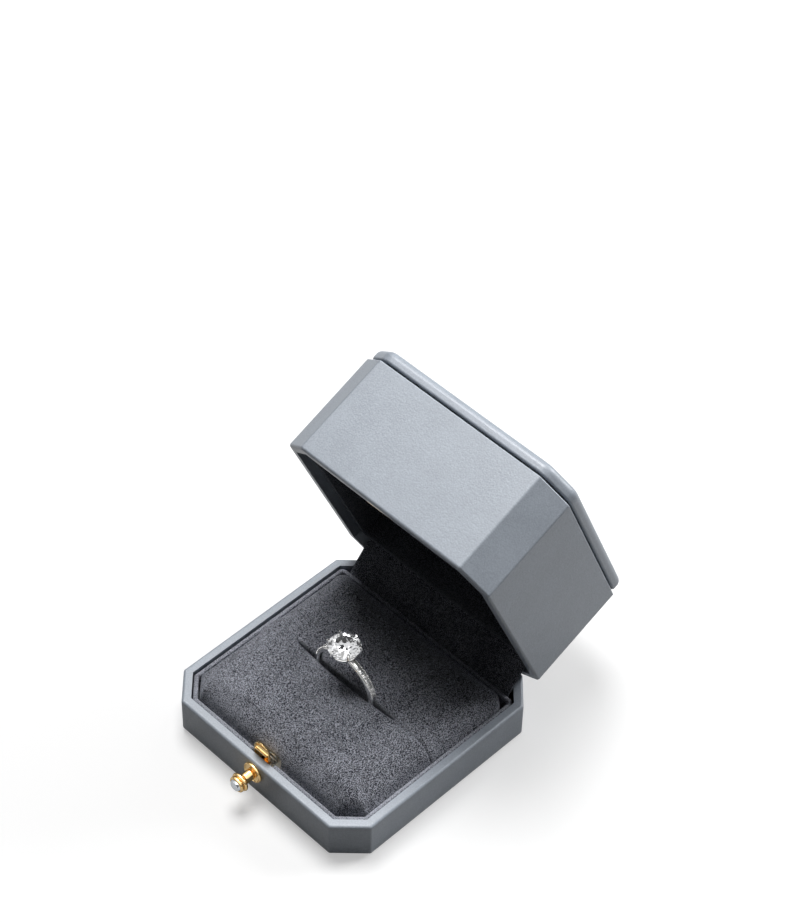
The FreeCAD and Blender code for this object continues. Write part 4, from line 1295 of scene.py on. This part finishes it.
@dataclass
class Catch:
    """Arched catch: a raised border around a hollow, and a thin scooped beak across it."""

    sheet: float = 0.8 * MM
    border: float = 0.34 * MM
    hollow: float = 0.55 * MM
    hollow_foot: float = 6.4 * MM  # lower end of the hollow, below the catch's top
    edge: float = 0.11 * MM  # rounding of the border
    beak_half: float = 1.85 * MM
    half: float = 2.5 * MM  # half its width, and the arch's radius
    points: int = 64  # round each outline
    back_edge: float = 0.2 * MM  # depth of the rounding of its back
    back_cut: tuple[float, float] = (0.50 * MM, 0.22 * MM)  # how far that goes in at the back, and half way
    dish: Pairs = (  # mm inwards, and share of the hollow's depth
        (0.10, 0.50), (0.30, 0.74), (0.60, 0.90), (1.00, 0.98), (1.50, 1.0),
    )
    beak: Pairs = (  # mm in front of the hollow's floor, and mm below the catch's top
        (-0.1, 1.80), (0.06, 1.95), (0.12, 2.22), (0.24, 2.40), (0.50, 2.48), (0.76, 2.50),
        (0.82, 2.56), (0.82, 2.86), (0.76, 2.92), (0.40, 2.96), (-0.1, 2.98),
    )
    low: Vector = field(init=False)
    high: Vector = field(init=False)

    def __post_init__(self) -> None:
        """Take the corners of the catch's node."""
        self.low, self.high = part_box("latch_catch")

    def outline(self, inset: float, centre: Vector, foot: float) -> list[Vector]:
        """Arched outline, moved inwards.

        Args:
            inset: how far it is moved inwards.
            centre: middle of the arch.
            foot: height of its lower end.

        Returns:
            Its points, half of them on the arch.
        """
        radius = self.half - inset
        half, eighth = self.points // 2, self.points // 8
        outline = []
        for step in range(half):
            turn = math.pi * step / half
            outline.append(centre + radius * Vector((math.cos(turn), 0.0, math.sin(turn))))
        corners = [centre + Vector((-radius, 0.0, 0.0)), Vector((centre.x - radius, centre.y, foot)),
                   Vector((centre.x + radius, centre.y, foot)), centre + Vector((radius, 0.0, 0.0))]
        for start, end, count in zip(corners, corners[1:], (eighth, 2 * eighth, eighth)):
            outline += [start.lerp(end, step / count) for step in range(count)]
        return outline

    def plate(self, bm: bmesh.types.BMesh) -> None:
        """Add the plate: a stack of outlines from its back to the hollow's floor.

        Args:
            bm: where it is added.
        """
        low, back = self.low.z, self.high.y
        front, floor_foot = back - self.sheet, self.high.z - self.hollow_foot
        steps = [
            (self.back_cut[0], back, low),
            (self.back_cut[1], back - self.back_edge, low),
            (0.0, front + self.back_edge, low),
            (0.0, front + self.edge, low),
            (self.edge, front, low + self.edge),
            (self.border - self.edge, front, floor_foot),
            (self.border, front + self.edge, floor_foot),
        ]
        for inwards, share in self.dish:
            steps.append((self.border + inwards * MM, front + share * self.hollow, floor_foot + inwards * MM))
        middle, arch_z = (self.low.x + self.high.x) / 2.0, self.high.z - self.half
        loops = [self.outline(inset, Vector((middle, y, arch_z)), foot) for inset, y, foot in steps]
        last = len(loops) - 1
        bmesh.ops.create_grid(bm, x_segments=self.points, y_segments=last, size=0.5)
        for vertex in bm.verts:
            place, step = round((vertex.co.x + 0.5) * self.points), round((vertex.co.y + 0.5) * last)
            vertex.co = loops[step][place % self.points]
        bmesh.ops.remove_doubles(bm, verts=bm.verts, dist=TINY)
        bmesh.ops.holes_fill(bm, edges=[edge for edge in bm.edges if edge.is_boundary])

    def hook(self, bm: bmesh.types.BMesh) -> None:
        """Add the beak.

        Args:
            bm: where it is added.
        """
        floor = self.high.y - self.sheet + self.hollow
        left = (self.low.x + self.high.x) / 2.0 - self.beak_half
        made = bmesh.ops.create_circle(bm, segments=len(self.beak), radius=1.0, cap_ends=True)
        for vertex, (reach, drop) in zip(made["verts"], self.beak):
            vertex.co = Vector((left, floor - reach * MM, self.high.z - drop * MM))
        side = bmesh.ops.extrude_face_region(bm, geom=made["verts"][0].link_faces[:])
        moved = [item for item in side["geom"] if isinstance(item, bmesh.types.BMVert)]
        bmesh.ops.translate(bm, vec=(2.0 * self.beak_half, 0.0, 0.0), verts=moved)

    def make(self) -> Piece:
        """Build the catch.

        Returns:
            The catch, riding on the button.
        """
        bm = bmesh.new()
        self.plate(bm)
        self.hook(bm)
        piece = piece_from(bm, "latch_catch_plate", Finish.GOLD)
        smooth_by_angle(piece, 40.0)
        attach(piece, "button")
        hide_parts("latch_catch")
        log.info("%s: %d faces", piece.name, len(piece.data.polygons))
        return piece


# ------------------------------------------------------------------ the ring
@dataclass
class RingBeads:
    """Small beads of metal that hold the stones along the ring's shoulders."""

    centre: Vector
    outside: float = 9.38 * MM  # from the ring's centre to the beads
    first: float = 17.0  # degrees from the top
    step: float = 2.533  # a third of the way from stone to stone
    count: int = 25
    apart: float = 0.56 * MM
    bead: float = 0.15 * MM

    def make(self) -> Piece:
        """Build all beads as one piece.

        Returns:
            The beads, riding on the ring.
        """
        bm = bmesh.new()
        for shoulder in (-1, 1):
            for bead in range(self.count):
                turn = shoulder * math.radians(self.first + self.step * bead)
                out = Vector((math.sin(turn), 0.0, math.cos(turn)))
                for side in (-1, 1):
                    place = self.centre + out * self.outside + Vector((0.0, side * self.apart, 0.0))
                    there = Matrix.Translation(place)
                    bmesh.ops.create_icosphere(bm, subdivisions=1, radius=self.bead, matrix=there)
        piece = piece_from(bm, "ring_beads", Finish.WHITE_METAL)
        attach(piece, "ring")
        log.info("%s: %d points", piece.name, len(piece.data.vertices))
        return piece


# ------------------------------------------------------------------ the studio
@dataclass
class Studio:
    """Camera, soft light and a pale floor."""

    camera_place: Vector = field(default_factory=lambda: Vector((0.279303, -0.273387, 0.505213)))
    camera_turn: Triple = (43.0669, -0.9113, 45.3488)  # degrees
    lens: float = 106.53  # mm, on a sensor 36 mm wide
    lamps: tuple[tuple[str, Triple, float, float], ...] = (  # name, direction, side in metres, watts
        ("key", (-0.26, 0.17, 0.95), 0.45, 7.5),
        ("rear", (0.35, 0.80, 0.50), 0.30, 4.4),
        ("top", (0.0, 0.70, 0.70), 0.40, 1.1),
    )
    lamp_far: float = 0.9
    room: float = 0.06
    sky: tuple[float, float] = (0.2, 0.95)  # heights between which a gloss brightens, 1 overhead
    shine: tuple[float, float] = (0.15, 2.4)  # brightness in a gloss, low and overhead
    bounce: float = 0.20
    floor_seen: tuple[float, float] = (0.60, 0.43)  # grey and glow, to the camera and through glass
    floor_gloss: tuple[float, float] = (0.50, 0.10)  # grey and glow in a gloss
    floor_size: float = 6.0

    def camera(self) -> None:
        """Stand the camera where the view is taken from."""
        data = bpy.data.cameras.new("camera")
        data.lens = self.lens
        data.sensor_width = 36.0
        data.clip_start = 0.01
        camera = placed("camera", data)
        camera.location = self.camera_place
        camera.rotation_euler = [math.radians(turn) for turn in self.camera_turn]
        bpy.context.scene.camera = camera

    def lamp(self, name: str, towards: Triple, size: float, power: float) -> None:
        """Hang one square soft light.

        Args:
            name: its name.
            towards: direction from the object to the light.
            size: side of the light in metres.
            power: its power in watts.
        """
        data = bpy.data.lights.new(name, "AREA")
        data.shape = "SQUARE"
        data.size = size
        data.energy = power
        lamp = placed(name, data)
        lamp.location = Vector(towards).normalized() * self.lamp_far
        lamp.rotation_euler = Vector(towards).to_track_quat("Z", "Y").to_euler()

    def world(self) -> None:
        """White to the camera and through glass, brighter overhead in a gloss, and dim where it lights."""
        world = bpy.data.worlds.new("room")
        tree = RayTree(world, "ShaderNodeOutputWorld")
        direction = tree.nodes.new("ShaderNodeSeparateXYZ")
        tree.links.new(tree.nodes.new("ShaderNodeTexCoord").outputs["Generated"], direction.inputs["Vector"])
        gloss, white = tree.backdrop(1.0), tree.backdrop(1.0)
        level = tree.ramp(direction.outputs["Z"], *self.sky, *self.shine)
        tree.links.new(level, gloss.node.inputs["Strength"])
        looks = {"Is Glossy Ray": gloss, "Is Transmission Ray": white, "Is Camera Ray": white}
        tree.show(tree.backdrop(self.room), looks)
        bpy.context.scene.world = world

    def floor(self) -> None:
        """Lay a pale floor that keeps the object's shadow."""
        bm = bmesh.new()
        bmesh.ops.create_grid(bm, x_segments=1, y_segments=1, size=self.floor_size / 2.0)
        mesh = bpy.data.meshes.new("floor")
        bm.to_mesh(mesh)
        bm.free()
        material = bpy.data.materials.new("floor_finish")
        tree = RayTree(material, "ShaderNodeOutputMaterial")
        gloss, seen = tree.glowing(*self.floor_gloss), tree.glowing(*self.floor_seen)
        looks = {"Is Glossy Ray": gloss, "Is Transmission Ray": seen, "Is Camera Ray": seen}
        tree.show(tree.glowing(self.bounce, 0.0), looks)
        mesh.materials.append(material)
        floor = placed("floor", mesh)

    def set_up(self) -> None:
        """Make the whole studio."""
        self.camera()
        for lamp in self.lamps:
            self.lamp(*lamp)
        self.world()
        self.floor()
        bpy.context.scene.view_settings.view_transform = "Standard"
        log.info("studio: camera lens %.1f mm", self.lens)


# ------------------------------------------------------------------ the whole
def clear_scene() -> None:
    """Remove whatever Blender starts with."""
    for thing in list(bpy.data.objects):
        bpy.data.objects.remove(thing)


def main() -> None:
    """Build and dress the box."""
    logging.basicConfig(level=logging.INFO, format="%(name)s: %(message)s")
    clear_scene()
    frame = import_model()
    hinge = Hinge.of(frame["joints"])
    log.info("hinge opens by %.0f degrees", math.degrees(hinge.turn))
    Case(frame["nodes"]).dress()
    slit_y = (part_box("pad_front")[1].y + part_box("pad_rear")[0].y) / 2.0
    ring_x = sum(point.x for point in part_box("ring_shank")) / 2.0
    span = (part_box("pad_front")[0].y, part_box("pad_rear")[1].y)
    RingPad("pad_front", -1, ring_x, slit_y, span, lip_wide=1.3 * MM, lip_drop=0.45 * MM).make()
    RingPad("pad_rear", 1, ring_x, slit_y, span, lip_wide=4.0 * MM, lip_drop=1.5 * MM).make()
    Collar().make()
    Flap().make()
    BowSpring().make()
    ReturnSpring().make()
    lid_lining = LidLining(hinge, frame["nodes"])
    lid_lining.cup()
    lid_lining.cushion()
    RingBeads(Vector((ring_x, slit_y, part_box("ring_shank")[1].z - SHANK_RADIUS))).make()
    FacetedCrystal().make()
    Catch().make()
    Studio().set_up()


if __name__ == "__main__":
    main()
